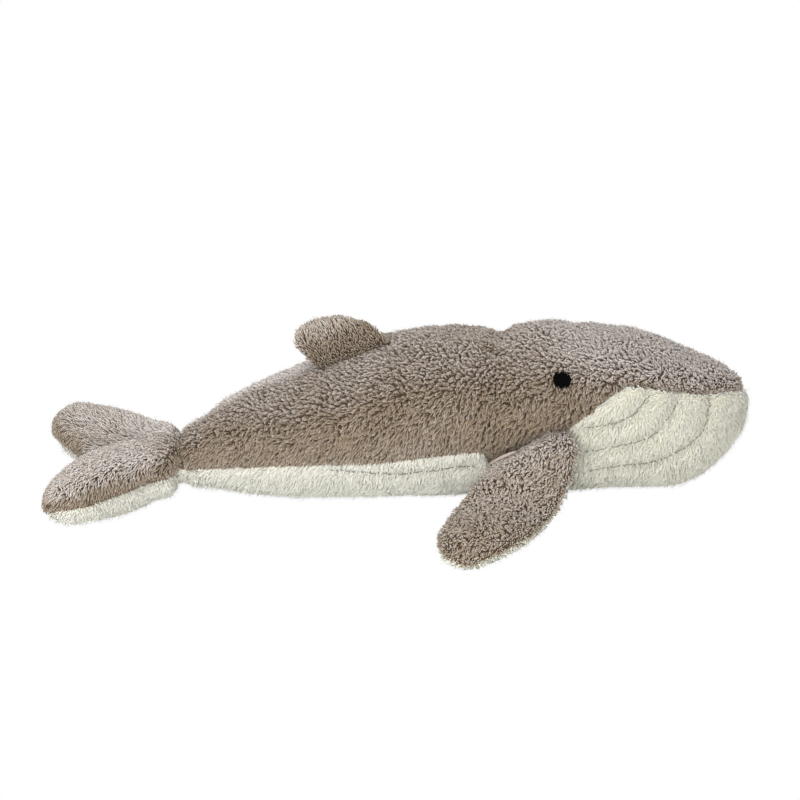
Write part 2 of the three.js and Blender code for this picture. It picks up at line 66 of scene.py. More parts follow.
# How near its seams and other fixed places the cloth is held while it swells
HELD = {
    "seam": 2.5 * MM,
    "pleat": 2.5 * MM,
    "flipper": 6 * MM,
    "fin": 5 * MM,
    "eye": 3 * MM,
    "table": 2 * MM,
    "tail": 8 * MM,
    "leaf_seam": 1.5 * MM,
}
LUMPS = {"broad": 1.1 * MM, "broad_cell": 34 * MM, "fine": 0.5 * MM, "fine_cell": 12 * MM}
LYING_ZONE = (2 * MM, 8 * MM)
CLOTH_CLEARANCE = 0.3 * MM

# The folds of the body's cloth: their depths in millimetres, their widths and where they lie
FOLD_DEPTH = {
    "seam": 1.1,
    "fluke_seam": 2.2,
    "pleat": 2.2,
    "flipper_root": 3.8,
    "fin_root": 1.6,
    "neck": 3.1,
    "head_dip": 1.2,
    "gathers": 1.6,
    "pinch": 2.4,
    "ridge": 6.5,
    "ruffle": 3.4,
}
SEAM_WIDTH = 1.8 * MM
FLUKE_SEAM = (-156 * MM, 14 * MM)
PLEAT_WIDTH = 4.4 * MM
FLIPPER_GROOVE_WIDTH = 6 * MM
FIN_GROOVE_WIDTH = 5 * MM
NECK_CREASE = (64.3 * MM, 0.16, 4.4 * MM)
NECK_CREASE_Y = (8 * MM, 30 * MM)
HEAD_DIP = (112 * MM, 8 * MM)
HEAD_DIP_BREADTH = 34 * MM

# The tail's pinched end: its gathers, its pinch, and the ruffles before and behind it
TAIL_GATHERS = 9
GATHER_WIDTH = 6 * MM
PINCH_WIDTH = 2.4 * MM
RUFFLE_REAR = (-9 * MM, 6 * MM)
RUFFLE_FRONT = (2 * MM, 7 * MM)
RUFFLE_TOP = 1.7
NECK_HULL_REACH = 4 * MM
NECK_REACH = 13 * MM

# The flukes: how far behind the hinge the tail stock has given way to them, how low their rear seam runs, and
# the ridge of the right one with the step behind it
FLUKES_START = 30 * MM
TRAILING_SEAM_DROP = 6 * MM
RIDGE_MIDDLE = (-163 * MM, -6 * MM)
RIDGE_SLOPE = 0.35
RIDGE_DROP = 5 * MM
RIDGE_RECOVERS = (9 * MM, 40 * MM)
RIDGE_FRONT = (150 * MM, 172 * MM)
RIDGE_REAR = (192 * MM, 206 * MM)
RIDGE_FADE = 0.8

# The flippers and the fin. The rim is how much deeper their outer seams lie than the rest of their cloth.
LEAF = {
    "flipper": {"voxel": 3.2 * MM, "depth": KNIT_DEPTH["back"], "rim": -2.6 * MM},
    "fin": {"voxel": 1.5 * MM, "depth": 1.7 * MM, "rim": 0.3 * MM},
}
FINE_VOXEL = 2 * MM
LEAF_RIM_WIDTH = 3.5 * MM
LEAF_LUMPS = 0.6
ROOT_KEEPS = 0.7
FLIPPER_ROOT_REACH = 5 * MM
ROOT_TUCK = 5 * MM
FLIPPER_SHOULDER = (89 * MM, 64 * MM, 54 * MM)
SHOULDER_HUMP, SHOULDER_WIDTH = 4.2 * MM, 14 * MM
TIP_HUMP = 1 * MM
FLIPPER_TIP = (85 * MM, 110 * MM)
FIN_ROOT = (1 * MM, 9 * MM)
FIN_TUCK = 5 * MM
FIN_SLANT = 0.63
FIN_SAG = 0.03

# Where the pile's looks change: the stretches over which they do, the places where it is parted, and how
# much each place lightens the back's pile or darkens it. These are painted light and shade: lighter where the
# pile faces up or down, on the head's top and on the rim-lit far crest, and darker in the hollow over the
# flippers, where the pile is parted, behind the ridge and along the flukes' seam. The head's lighter top is
# also its own paler pile.
HEAD = (60 * MM, 120 * MM)
SNOUT = (115 * MM, 150 * MM)
SNOUT_TOP = 0.7
THROAT = (60 * MM, 90 * MM)
TAIL_STOCK = (15 * MM, 70 * MM)
FAR_SIDE = (-3 * MM, 9 * MM)
FLIPPER_HOLLOW = 25 * MM
RIDGE_SHADE = (4 * MM, 6 * MM)
FLUKE_SEAM_SHADE = 9 * MM
FLUKES_PARTING = 15 * MM
SEAM_SHORT = 4 * MM
PARTING = {"flipper": 4.5 * MM, "eye": 3 * MM, "seam": 1.5 * MM, "pleat": 2 * MM}
DYE_CELL = 18 * MM
NECK_MARGIN = 2 * MM
FLIPPER_MIDDLE = (79 * MM, 58 * MM)
FLIPPER_PARTING = 8 * MM
FLIPPER_RIM = 4 * MM
FLIPPER_PALE_ROOT = (62 * MM, 12 * MM)
FLIPPER_SHORT = (57 * MM, 6 * MM)
FLIPPER_DARK_TIP = (92 * MM, 122 * MM)
FIN_PALES = (6 * MM, 22 * MM)
ROOT_BEND = {"flipper": 12 * MM, "fin": 7 * MM}
BACK_TONE = {
    "all": 0.03,
    "low": 0.12,
    "crest": 0.53,
    "head": 0.5,
    "hollow": -0.3,
    "parted": -0.3,
    "fluke_top_light": 0.2,
    "ridge_shade": -0.38,
    "fluke_seam_shade": -0.25,
    "rim_lit_far_crest": 0.65,
}

# The matted fibre of the fillings: how deep it lies, how much its clumps and the flukes' ridge change that
FIBRE = {"voxel": 4 * MM, "depth": 3.2 * MM, "clump": 1.2 * MM, "cell": 9 * MM, "ridge": 12 * MM}

# The eye's satin stitches: how much of the CAD eye they cover, how far they stand over it and sink at their
# ends, how uneven they are, and the waves of their two rows of ends
EYE = {
    "stitches": 30,
    "steps": 9,
    "cover": 0.97,
    "overlap": 1.22,
    "margin": 0.25 * MM,
    "lift": 1.3 * MM,
    "round": 0.8,
    "sink": 1.6 * MM,
    "radius": 0.3 * MM,
    "slant": 0.12 * MM,
    "ends": (0.8, 1.18),
    "waves": ((0.15, 7, 0.6), (0.13, 9, 2)),
}

# The running stitches of the pleats. Their ends stand over the cloth by the first height and their middles
# by both, in millimetres. A CAD thread has six points in each of its rings.
STITCH = {"length": 4.2 * MM, "pitch": 5.1 * MM, "first": 0.5 * MM, "steps": 7, "radius": 0.23 * MM}
STITCH_HEIGHTS = (1.7, 0.6)
THREAD_SIDES = 6

# The two bare folds at a flipper's root: each one's start, middle and end in millimetres, for the left side
ROOT_FOLDS = (
    ((51, 58, 37), (59, 61, 43.5), (68, 64, 48.5)),
    ((55, 61.5, 38), (60, 64, 41.5), (66, 66, 44)),
)
ROOT_FOLD_RADII = (1.15 * MM, 0.7 * MM)
ROOT_FOLD_STEPS = 13

# The light, and the floor. Each lamp has its name, place, size, power and colour.
ROOM_COLOUR = (1.0, 0.985, 0.96, 1)
ROOM_STRENGTH = 0.68
WHITE = (1, 1, 1, 1)
PAPER_COLOUR = (0.9, 0.9, 0.9, 1)
FLOOR_SIZE = 8
FLOOR_DROP = 0.4 * MM
LAMP_AIM = (0, 0, 0.05)
LAMPS = (
    ("key", (-0.3, -0.5, 1.7), 1.1, 10, (1.0, 0.985, 0.97)),
    ("fill", (-0.4, -1.6, 0.34), 0.9, 19.8, (1.0, 0.99, 0.98)),
    ("rim", (-0.2, 1.3, 0.7), 1.0, 9, (1.0, 1.0, 1.0)),
)

# The sharper creases in the back's cloth: depth, start and end in millimetres. A crease is shallower at its
# ends by the share CREASE_END, and deepens from there.
CREASES = (
    (3.0, (52, -19, 100), (71, -24, 97)),
    (1.8, (17, -32, 95), (26, -21, 100)),
    (1.6, (34, -12, 103), (43, -23, 99)),
    (2.4, (-93, -41, 42), (-104, -37, 30)),
    (1.6, (92, -47, 74), (112, -48, 72)),
    (1.4, (-20, -50, 66), (4, -53, 60)),
)
CREASE_WIDTH = {"cloth": 2.6 * MM, "pile": 1.5 * MM}
CREASE_END, CREASE_GAIN = 0.4, 4.8

# The pile. Each kind has how far its tufts reach along the cloth, how high they stand, their width, how far
# apart they are, and how many rings make one.
BACK_TUFT = {"reach": 2.9 * MM, "height": 2.8 * MM, "width": 1.08 * MM, "apart": 0.97 * MM, "rings": 3}
UNDERSIDE_TUFT = {"reach": 3.2 * MM, "height": 2.1 * MM, "width": 1.0 * MM, "apart": 1.05 * MM, "rings": 2}
FUZZ = {"reach": 3.0 * MM, "height": 4.7 * MM, "width": 0.24 * MM, "apart": 1.3 * MM, "rings": 0}
MOST_TRIANGLES = 190000

# The middle line of a tuft, by its number of rings: each point's share of its height and of its reach. Then
# how thick it is at each point, and how many triangles make it.
TUFT_LINES = {
    3: ((-0.1, 0.0), (0.6, 0.22), (1.0, 0.66), (0.84, 1.0)),
    2: ((-0.05, 0.05), (0.92, 0.45), (0.9, 1.0)),
    0: ((0.35, 0.1), (0.72, 0.4), (1.0, 1.0)),
}
TUFT_TAPERS = {3: (0.7, 1.0, 0.88, 0.0), 2: (0.85, 1.0, 0.0)}
TUFT_TRIANGLES = {3: 15, 2: 9, 0: 3}

# How many places are tried for each tuft, and the least gap between two as a share of their spacing
SCATTER_TRIES = 3
SCATTER_GAP = 0.82

# A fine fibre: its width halfway up, as a share of that at its root, and each row's place on it
FIBRE_NARROWS = 0.7
FIBRE_PLACES = (0.4, 0.4, 0.75, 0.75, 1.0)

# How near the table the pile comes, and how near the eyes
PILE_CLEARANCE = 0.05 * MM
EYE_CLEARANCE = {"pile": 0.4 * MM, "fuzz": 4 * MM}

# How tufts gather into locks, with lower edges painted darker as shade between the locks, and how much they
# differ from their neighbours
LOCK = {"apart": 2.7 * MM, "edge": (0.08, 0.5), "pull": 1.2, "edge_height": 0.65, "edge_shade": 0.2}
UNEVEN = {
    "wave": 8 * MM,
    "ripple": 3.6 * MM,
    "ripple_share": 0.7,
    "lean": 0.2,
    "reach": (0.75, 1.25),
    "height": (0.8, 1.12),
    "fibre_height": (0.5, 1.12),
    "patch": 5 * MM,
    "patch_height": 0.28,
    "tip": 0.22 * MM,
    "width": (0.8, 1.2),
    "fibre_twist": 0.6,
    "tone": 0.16,
}

BAKE_UV = "OFBake"
UV_ENDS = (0.02, 0.98)
LATTICE = 32

SIDES = (("right", -1), ("left", 1))
BACK_NODES = ("back_panel_left", "back_panel_right")
BODY_FORM = (*BACK_NODES, "underside_panel", "body_filling")
FLUKE_FORM = ("flukes_upper", "flukes_lower", "flukes_filling")


def srgb(red, green, blue):
    """A colour read off a screen, as linear light."""

    def linear(c):
        c /= 255
        return c / 12.92 if c <= 0.04045 else ((c + 0.055) / 1.055) ** 2.4

    return (linear(red), linear(green), linear(blue), 1.0)


# Points and meshes


def unit(vectors):
    return vectors / np.maximum(np.linalg.norm(vectors, axis=-1, keepdims=True), 1e-12)


def flattened(vectors, normals):
    """The part of each vector that lies along the surface with that normal, at unit length."""
    along = vectors - normals * np.sum(vectors * normals, axis=-1, keepdims=True)
    return unit(along)


def read(items, key, kind=np.float32):
    """Three values of each item of a mesh."""
    flat = np.empty(len(items) * 3, kind)
    items.foreach_get(key, flat)
    return flat.reshape(-1, 3)


def points_of(mesh):
    return read(mesh.vertices, "co").astype(float)


def normals_of(mesh):
    return read(mesh.vertices, "normal").astype(float)


def triangles_of(mesh):
    mesh.calc_loop_triangles()
    return read(mesh.loop_triangles, "vertices", np.int32)


def move_points(obj, points):
    obj.data.vertices.foreach_set("co", points.astype(np.float32).ravel())
    obj.data.update()


def make_object(name, points, triangles, uv=None):
    """A mesh object from arrays. uv has one row for each point."""
    mesh = bpy.data.meshes.new(name)
    mesh.vertices.add(len(points))
    mesh.vertices.foreach_set("co", points.astype(np.float32).ravel())
    mesh.loops.add(triangles.size)
    mesh.loops.foreach_set("vertex_index", triangles.astype(np.int32).ravel())
    mesh.polygons.add(len(triangles))
    mesh.polygons.foreach_set("loop_start", np.arange(0, triangles.size, 3, dtype=np.int32))
    mesh.polygons.foreach_set("use_smooth", np.full(len(triangles), True))
    if uv is not None:
        layer = mesh.uv_layers.new(name=BAKE_UV)
        layer.data.foreach_set("uv", uv[triangles.ravel()].astype(np.float32).ravel())
    mesh.update(calc_edges=True)
    mesh.validate()
    obj = bpy.data.objects.new(name, mesh)
    bpy.context.scene.collection.objects.link(obj)
    return obj


def merged(objects):
    """The points and triangles of some objects, as those of one."""
    points, triangles, count = [], [], 0
    for obj in objects:
        own = points_of(obj.data)
        points.append(own)
        triangles.append(triangles_of(obj.data) + count)
        count += len(own)
    return np.concatenate(points), np.concatenate(triangles)


def tree_of(objects):
    """A search tree over the surfaces of objects."""
    points, triangles = merged(objects)
    return BVHTree.FromPolygons(points.tolist(), triangles.tolist())


def tree_of_points(points):
    tree = KDTree(len(points))
    for index, point in enumerate(points):
        tree.insert(point, index)
    tree.balance()
    return tree


def distances(tree, points):
    return np.array([tree.find_nearest(p)[3] for p in points.tolist()])


def valley(distance, width):
    """1 in the middle of a valley, falling to 0 past its width."""
    return np.exp(-((distance / width) ** 2))


def valley_at(value, middle, width):
    return valley(value - middle, width)


def crease(points, start, end, width):
    """A valley along the straight line between two places in millimetres, shallower at its ends."""
    start, end = np.array(start) * MM, np.array(end) * MM
    way = end - start
    share = np.clip((points - start) @ way / (way @ way), 0, 1)
    distance = np.linalg.norm(points - start - share[:, None] * way, axis=1)
    return valley(distance, width) * np.minimum(1, CREASE_END + CREASE_GAIN * share * (1 - share))


def rise(value, low, high):
    """0 up to the low value, rising smoothly to 1 at the high value."""
    t = np.clip((value - low) / (high - low), 0, 1)
    return t * t * (3 - 2 * t)


def field(points, cell, seed, channels=3):
    """Smooth random values from -1 to 1 that change over about a cell."""
    rng = np.random.default_rng(seed)
    lattice = rng.uniform(-1, 1, (LATTICE, LATTICE, LATTICE, channels))
    scaled = points / cell
    base = np.floor(scaled).astype(int)
    share = scaled - base
    share = share * share * (3 - 2 * share)
    total = np.zeros((len(points), channels))
    for corner in range(8):
        step = np.array([corner >> 2 & 1, corner >> 1 & 1, corner & 1])
        at = (base + step) % LATTICE
        weight = np.prod(np.where(step, share, 1 - share), axis=1)
        total += lattice[at[:, 0], at[:, 1], at[:, 2]] * weight[:, None]
    return total


# Materials


class Socket:
    """A node's output that can be added and multiplied as a number is."""

    def __init__(self, shader, output):
        self.shader, self.output = shader, output

    def _math(self, operation, first, second):
        return self.shader.node("Math", {0: first, 1: second}, operation=operation)

    def __add__(self, other):
        return self._math("ADD", self, other)

    def __mul__(self, other):
        return self._math("MULTIPLY", self, other)

    def __pow__(self, other):
        return self._math("POWER", self, other)

    def __rpow__(self, other):
        return self._math("POWER", other, self)

    __radd__, __rmul__ = __add__, __mul__


class Shader:
    """A material whose nodes are made one call at a time."""

    def __init__(self, name, roughness, sheen=0.0, tint=(1, 1, 1, 1)):
        self.material = bpy.data.materials.new(name)
        self.material.use_nodes = True
        self.tree = self.material.node_tree
        self.surface = self.tree.nodes["Principled BSDF"]
        self.surface.inputs["Roughness"].default_value = roughness
        self.surface.inputs["Specular IOR Level"].default_value = 0.25
        self.surface.inputs["Sheen Weight"].default_value = sheen
        self.surface.inputs["Sheen Roughness"].default_value = 0.5
        self.surface.inputs["Sheen Tint"].default_value = tint

    def node(self, kind, inputs=None, output=0, stops=(), **settings):
        """A node of a type, with its settings and then the values or links of its sockets. A colour ramp's
        two stops are each a place and a colour."""
        made = self.tree.nodes.new("ShaderNode" + kind)
        for key, value in settings.items():
            setattr(made, key, value)
        for index, (place, colour) in enumerate(stops):
            stop = made.color_ramp.elements[index]
            stop.position, stop.color = place, colour
        for key, value in (inputs or {}).items():
            if isinstance(value, Socket):
                self.tree.links.new(value.output, made.inputs[key])
            else:
                made.inputs[key].default_value = value
        return Socket(self, made.outputs[output])

    def noise(self, scale, detail=2.0, roughness=0.5):
        place = self.node("TexCoord", output="Object")
        inputs = {"Vector": place, "Scale": scale, "Detail": detail, "Roughness": roughness}
        return self.node("TexNoise", inputs)

    def mix(self, factor, first, second):
        inputs = {0: factor, 6: first, 7: second}
        return self.node("Mix", inputs, output=2, data_type="RGBA")

    def bump(self, height, distance):
        self.put("Normal", self.node("Bump", {"Height": height, "Distance": distance}))

    def put(self, name, value):
        self.tree.links.new(value.output, self.surface.inputs[name])


def pile_material(name, roots, tips, glow, sheen):
    """Pile that runs from a root colour to a tip colour. Both change along the tone of each tuft. The darker
    roots are partly painted shade, deepening the shade that falls between the tufts. glow is the share of the
    light that spreads inside its fibres."""
    shader = Shader(name, roughness=0.85, sheen=sheen, tint=tips[1])
    shader.surface.inputs["Subsurface Weight"].default_value = glow
    shader.surface.inputs["Subsurface Radius"].default_value = (1, 1, 1)
    shader.surface.inputs["Subsurface Scale"].default_value = 1.5 * MM
    place = shader.node("UVMap", uv_map=BAKE_UV)
    tone = shader.node("SeparateXYZ", {0: place}, output="X")
    height = shader.node("SeparateXYZ", {0: place}, output="Y")
    root = shader.mix(tone, *roots)
    tip = shader.mix(tone, *tips)
    shader.put("Base Color", shader.mix(height**1.3, root, tip))
    return shader.material


def knit_material(name, dark, light):
    """The knit that the pile grows on: fine loops with uneven dye."""
    shader = Shader(name, roughness=0.95)
    loops = shader.noise(scale=900, detail=3)
    patches = shader.noise(scale=60, detail=2)
    shader.put("Base Color", shader.mix(loops * 0.6 + patches * 0.4, dark, light))
    shader.bump(loops, distance=0.6 * MM)
    return shader.material


def thread_material(name, dark, light, roughness, scale):
    """Twisted sewing thread."""
    shader = Shader(name, roughness=roughness)
    shader.surface.inputs["Specular IOR Level"].default_value = 0.05
    twist = shader.noise(scale=scale, detail=3)
    shader.put("Base Color", shader.mix(twist, dark, light))
    shader.put("Roughness", twist * 0.3 + (roughness - 0.15))
    shader.bump(twist, distance=0.1 * MM)
    return shader.material


def filling_material(name):
    """Loose white fibre, matted into tufts."""
    shader = Shader(name, roughness=1.0)
    matted = shader.noise(scale=140, detail=6, roughness=0.7)
    stops = [(0.3, srgb(196, 192, 182)), (0.7, srgb(246, 245, 240))]
    shader.put("Base Color", shader.node("ValToRGB", {0: matted}, stops=stops))
    shader.bump(matted, distance=2 * MM)
    return shader.material


# The frame

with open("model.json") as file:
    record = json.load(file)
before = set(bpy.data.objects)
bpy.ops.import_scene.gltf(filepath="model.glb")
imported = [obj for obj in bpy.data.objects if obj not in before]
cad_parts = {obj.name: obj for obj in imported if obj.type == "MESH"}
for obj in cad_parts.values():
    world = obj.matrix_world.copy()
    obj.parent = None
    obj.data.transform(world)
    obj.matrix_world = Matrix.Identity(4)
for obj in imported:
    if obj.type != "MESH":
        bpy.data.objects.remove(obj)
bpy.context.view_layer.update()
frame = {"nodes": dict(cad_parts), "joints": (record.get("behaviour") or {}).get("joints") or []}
nodes = frame["nodes"]
hinges = {joint["name"]: joint for joint in frame["joints"]}
pleats = sorted(name for name in nodes if "pleat" in name)


def cad(*names):
    """The CAD nodes with these names."""
    return [nodes[name] for name in names]


def hinge_place(name):
    return np.array(hinges[name]["pos_m"], float)


TAIL_HINGE = hinge_place("flukes_lift")
TAIL_X = TAIL_HINGE[0]
FLIPPER_HINGE_Y = abs(hinge_place("right_flipper_lift")[1])
FIN_AXIS = unit(np.array(hinges["dorsal_fin_lean"]["axis"], float))
FIN_AWAY = np.cross(FIN_AXIS, [0, 1, 0])

back_tree = tree_of(cad(*BACK_NODES, "flukes_upper"))
underside_tree = tree_of(cad("underside_panel", "flukes_lower"))
pleat_tree = tree_of(cad(*pleats))
flipper_tree = tree_of(cad("right_flipper_upper", "left_flipper_upper"))
fin_tree = tree_of(cad("dorsal_fin_left", "dorsal_fin_right"))
eye_tree = tree_of(cad("right_eye", "left_eye"))


def on_flukes(points):
    """0 on the body, rising to 1 on the flukes."""
    return rise(TAIL_X - points[:, 0], 0, FLUKES_START)


def past_seam(points, normals):
    """How far each point lies past the body's seam, onto the underside's cloth."""
    past = distances(back_tree, points) - distances(underside_tree, points)
    trailing = np.clip(-normals[:, 0], 0, 1) * on_flukes(points)
    return past - TRAILING_SEAM_DROP * trailing


# The cloth pouches


def apply_modifiers(obj):
    """Applies all of an object's modifiers, and shades it smooth."""
    bpy.ops.object.select_all(action="DESELECT")
    obj.select_set(True)
    bpy.context.view_layer.objects.active = obj
    for name in obj.modifiers.keys():
        bpy.ops.object.modifier_apply(modifier=name)
    mesh = obj.data
    mesh.polygons.foreach_set("use_smooth", np.full(len(mesh.polygons), True))
    mesh.update()


def hull_of(points):
    mesh = bmesh.new()
    for point in points:
        mesh.verts.new(point)
    bmesh.ops.convex_hull(mesh, input=mesh.verts)
    loose = [v for v in mesh.verts if not v.link_faces]
    bmesh.ops.delete(mesh, geom=loose, context="VERTS")
    bmesh.ops.triangulate(mesh, faces=mesh.faces)
    mesh.verts.ensure_lookup_table()
    mesh.verts.index_update()
    corners = np.array([v.co for v in mesh.verts])
    faces = np.array([[v.index for v in f.verts] for f in mesh.faces])
    mesh.free()
    return corners, faces


def pouch(name, names, voxel, relax, extra=None):
    """One smooth closed surface round the outside of some CAD nodes."""
    points, triangles = merged(cad(*names))
    if extra is not None:
        triangles = np.concatenate([triangles, extra[1] + len(points)])
        points = np.concatenate([points, extra[0]])
    obj = make_object(name, points, triangles)
    remesh = obj.modifiers.new("Remesh", "REMESH")
    remesh.mode = "VOXEL"
    remesh.voxel_size = voxel
    smooth = obj.modifiers.new("Smooth", "SMOOTH")
    smooth.factor = 0.5
    smooth.iterations = relax
    apply_modifiers(obj)
    return obj


def swell(obj, held):
    """Stuffs a pouch. Pressure swells its cloth, which its seams hold back, and no point passes the cap."""
    cap = SWELL["cap"]
    start = points_of(obj.data) - normals_of(obj.data) * (cap * SWELL["slack"])
    move_points(obj, start)
    seams = obj.vertex_groups.new(name="seams")
    seams.add(np.flatnonzero(held).tolist(), 1.0, "REPLACE")
    cloth = obj.modifiers.new("Cloth", "CLOTH").settings
    cloth.vertex_group_mass = seams.name
    cloth.use_pressure = True
    cloth.uniform_pressure_force = SWELL["pressure"]
    cloth.effector_weights.gravity = 0
    for number in range(1, SWELL["frames"] + 1):
        bpy.context.scene.frame_set(number)
    graph = bpy.context.evaluated_depsgraph_get()
    moved = points_of(obj.evaluated_get(graph).data) - start
    obj.modifiers.clear()
    obj.vertex_groups.clear()
    bpy.context.scene.frame_set(1)
    far = np.maximum(np.linalg.norm(moved, axis=1, keepdims=True), 1e-9)
    move_points(obj, start + moved * np.minimum(1, cap / far))


def subdivide(obj):
    finer = obj.modifiers.new("Subdivision", "SUBSURF")
    finer.levels = finer.render_levels = 1
    apply_modifiers(obj)


def sink(obj, depth):
    move_points(obj, points_of(obj.data) - normals_of(obj.data) * depth[:, None])


def lumps(points):
    """The uneven filling, felt through the cloth."""
    broad = field(points, LUMPS["broad_cell"], seed=3, channels=1)[:, 0]
    fine = field(points, LUMPS["fine_cell"], seed=4, channels=1)[:, 0]
    return LUMPS["broad"] * broad + LUMPS["fine"] * fine


def neck_form():
    """Joins the tail stock's pinched end to the flukes, across the hinge's gap."""
    tail, flukes = (merged(cad(*form))[0] for form in (BODY_FORM, FLUKE_FORM))
    near_tail = tail[tail[:, 0] < TAIL_X + NECK_HULL_REACH]
    centre = np.abs(flukes[:, 1]) < np.abs(near_tail[:, 1]).max()
    near_flukes = flukes[centre & (flukes[:, 0] > TAIL_X - NECK_HULL_REACH)]
    level = np.abs(near_flukes[:, 2] - TAIL_HINGE[2]) < np.ptp(near_tail[:, 2]) / 2
    return hull_of(np.concatenate([near_tail, near_flukes[level]]))


def behind_ridge(points):
    """How far each point lies behind the right fluke's ridge, towards the left fluke."""
    x, y = RIDGE_MIDDLE
    return points[:, 1] - y - RIDGE_SLOPE * (points[:, 0] - x)


def ridge_step(points, normals):
    """1 just behind the right fluke's ridge, where the flukes' top drops, and 0 away from it."""
    behind, x = behind_ridge(points), points[:, 0]
    step = rise(behind, 0, RIDGE_DROP) * (1 - rise(behind, *RIDGE_RECOVERS)) * rise(normals[:, 2], 0, 0.5)
    return step * rise(-x, *RIDGE_FRONT) * (1 - RIDGE_FADE * rise(-x, *RIDGE_REAR))


def fold_body(obj, past):
    """Presses the seams, the pleats, the neck's crease and the gathers into the body's cloth."""
    points, normals = points_of(obj.data), normals_of(obj.data)
    x, y, z = points.T
    top = rise(normals[:, 2], *TOP_SIDE)
    seam = valley(past, SEAM_WIDTH)
    neck_x, neck_slant, neck_width = NECK_CREASE
    across_neck = valley_at(y, *NECK_CREASE_Y)
    around = np.arctan2(z - TAIL_HINGE[2], y)
    gathers = 0.5 + 0.5 * np.cos(TAIL_GATHERS * around + 1)
    folds = {
        "seam": seam,
        "fluke_seam": seam * valley_at(x, *FLUKE_SEAM),
        "pleat": valley(distances(pleat_tree, points), PLEAT_WIDTH),
        "flipper_root": valley(distances(flipper_tree, points), FLIPPER_GROOVE_WIDTH),
        "fin_root": valley(distances(fin_tree, points), FIN_GROOVE_WIDTH),
    }
    creases = {
        "neck": valley_at(x, neck_x + neck_slant * y, neck_width) * across_neck * top,
        "head_dip": valley_at(x, *HEAD_DIP) * valley(y, HEAD_DIP_BREADTH) * top,
        "gathers": valley_at(x, TAIL_X, GATHER_WIDTH) * gathers,
        "pinch": valley_at(x, TAIL_X, PINCH_WIDTH) * top,
        "ridge": ridge_step(points, normals),
    }
    pressed = sum(FOLD_DEPTH[name] * fold for name, fold in folds.items())
    sharp = sum(FOLD_DEPTH[name] * fold for name, fold in creases.items())
    for depth, start, end in CREASES:
        sharp += depth * crease(points, start, end, CREASE_WIDTH["cloth"])
    ruffle = valley_at(x - TAIL_X, *RUFFLE_REAR)
    ruffle += RUFFLE_TOP * top * valley_at(x - TAIL_X, *RUFFLE_FRONT)
    clear = rise(z, *LYING_ZONE)
    sink(obj, ((pressed + sharp) * clear - FOLD_DEPTH["ruffle"] * ruffle) * MM)
    points = points_of(obj.data)
    points[:, 2] = np.maximum(points[:, 2], CLOTH_CLEARANCE)
    move_points(obj, points)


def knit_of_body():
    obj = pouch("body_cloth", (*BODY_FORM, *FLUKE_FORM), VOXEL, relax=3, extra=neck_form())
    points = points_of(obj.data)
    held = np.abs(past_seam(points, normals_of(obj.data))) < HELD["seam"]
    fixed = {"pleat": pleat_tree, "flipper": flipper_tree, "fin": fin_tree, "eye": eye_tree}
    for place, tree in fixed.items():
        held |= distances(tree, points) < HELD[place]
    held |= points[:, 2] < HELD["table"]
    held |= np.abs(points[:, 0] - TAIL_X) < HELD["tail"]
    swell(obj, held)
    subdivide(obj)
    points, normals = points_of(obj.data), normals_of(obj.data)
    past = past_seam(points, normals)
    fold_body(obj, past)
    depth = np.where(past > 0, KNIT_DEPTH["underside"], KNIT_DEPTH["back"])
    sink(obj, depth + lumps(points))
    return obj, past


def knit_of_leaf(name, parts, leaf, rooted):
    """The cloth of a flipper or the fin. rooted says which of its points are sewn to the body."""
    obj = pouch(name, parts, leaf["voxel"], relax=2)
    upper, lower = (tree_of(cad(part)) for part in parts[:2])
    points = points_of(obj.data)
    past = distances(upper, points) - distances(lower, points)
    root = rooted(points)[0]
    swell(obj, (np.abs(past) < HELD["leaf_seam"]) | (root > 0.5))
    if leaf["voxel"] > FINE_VOXEL:
        subdivide(obj)
    points = points_of(obj.data)
    past = distances(upper, points) - distances(lower, points)
    root, moved, hump = rooted(points)
    deep = leaf["depth"] + leaf["rim"] * valley(past, LEAF_RIM_WIDTH) + LEAF_LUMPS * lumps(points)
    sink(obj, deep * (1 - ROOT_KEEPS * root) - hump)
    move_points(obj, points_of(obj.data) + moved)
    return obj, past


def flipper_root(sign):
    """Tells how far each point of a flipper belongs to its root, how it moves to meet the body, and how far
    its stuffing humps it up."""

    def rooted(points):
        x, y, z = FLIPPER_SHOULDER
        away = np.abs(points[:, 1])
        root = 1 - rise(away, FLIPPER_HINGE_Y, FLIPPER_HINGE_Y + FLIPPER_ROOT_REACH)
        shoulder = np.array([x, sign * y, z])
        hump = SHOULDER_HUMP * valley(np.linalg.norm(points - shoulder, axis=1), SHOULDER_WIDTH)
        hump += TIP_HUMP * rise(away, *FLIPPER_TIP)
        return root, root[:, None] * [0, -sign * ROOT_TUCK, 0], hump

    return rooted


def fin_root(points):
    """The same for the fin, which has no hump."""
    height, settled = settle_fin(points)
    root = 1 - rise(height, *FIN_ROOT)
    return root, settled - root[:, None] * FIN_AWAY * FIN_TUCK, 0


def settle_fin(points):
    """Each point's height over the fin's root, and its move as the fin sags to a share of its height."""
    height = (points - hinge_place("dorsal_fin_lean")) @ FIN_AWAY
    slant = FIN_AWAY - FIN_SLANT * FIN_AXIS
    return height, -FIN_SAG * np.maximum(height, 0)[:, None] * slant


body_skin, body_past = knit_of_body()
leaves = {}
for side, sign in SIDES:
    leaf = f"{side}_flipper"
    parts = [f"{leaf}_{part}" for part in ("upper", "lower", "filling")]
    leaves[leaf] = knit_of_leaf(f"{leaf}_cloth", parts, LEAF["flipper"], flipper_root(sign))
FIN_PARTS = ("dorsal_fin_left", "dorsal_fin_right", "dorsal_fin_filling")
fin_skin, fin_past = knit_of_leaf("dorsal_fin_cloth", FIN_PARTS, LEAF["fin"], fin_root)
leaves["dorsal_fin"] = (fin_skin, np.zeros(len(fin_past)))


# The pile


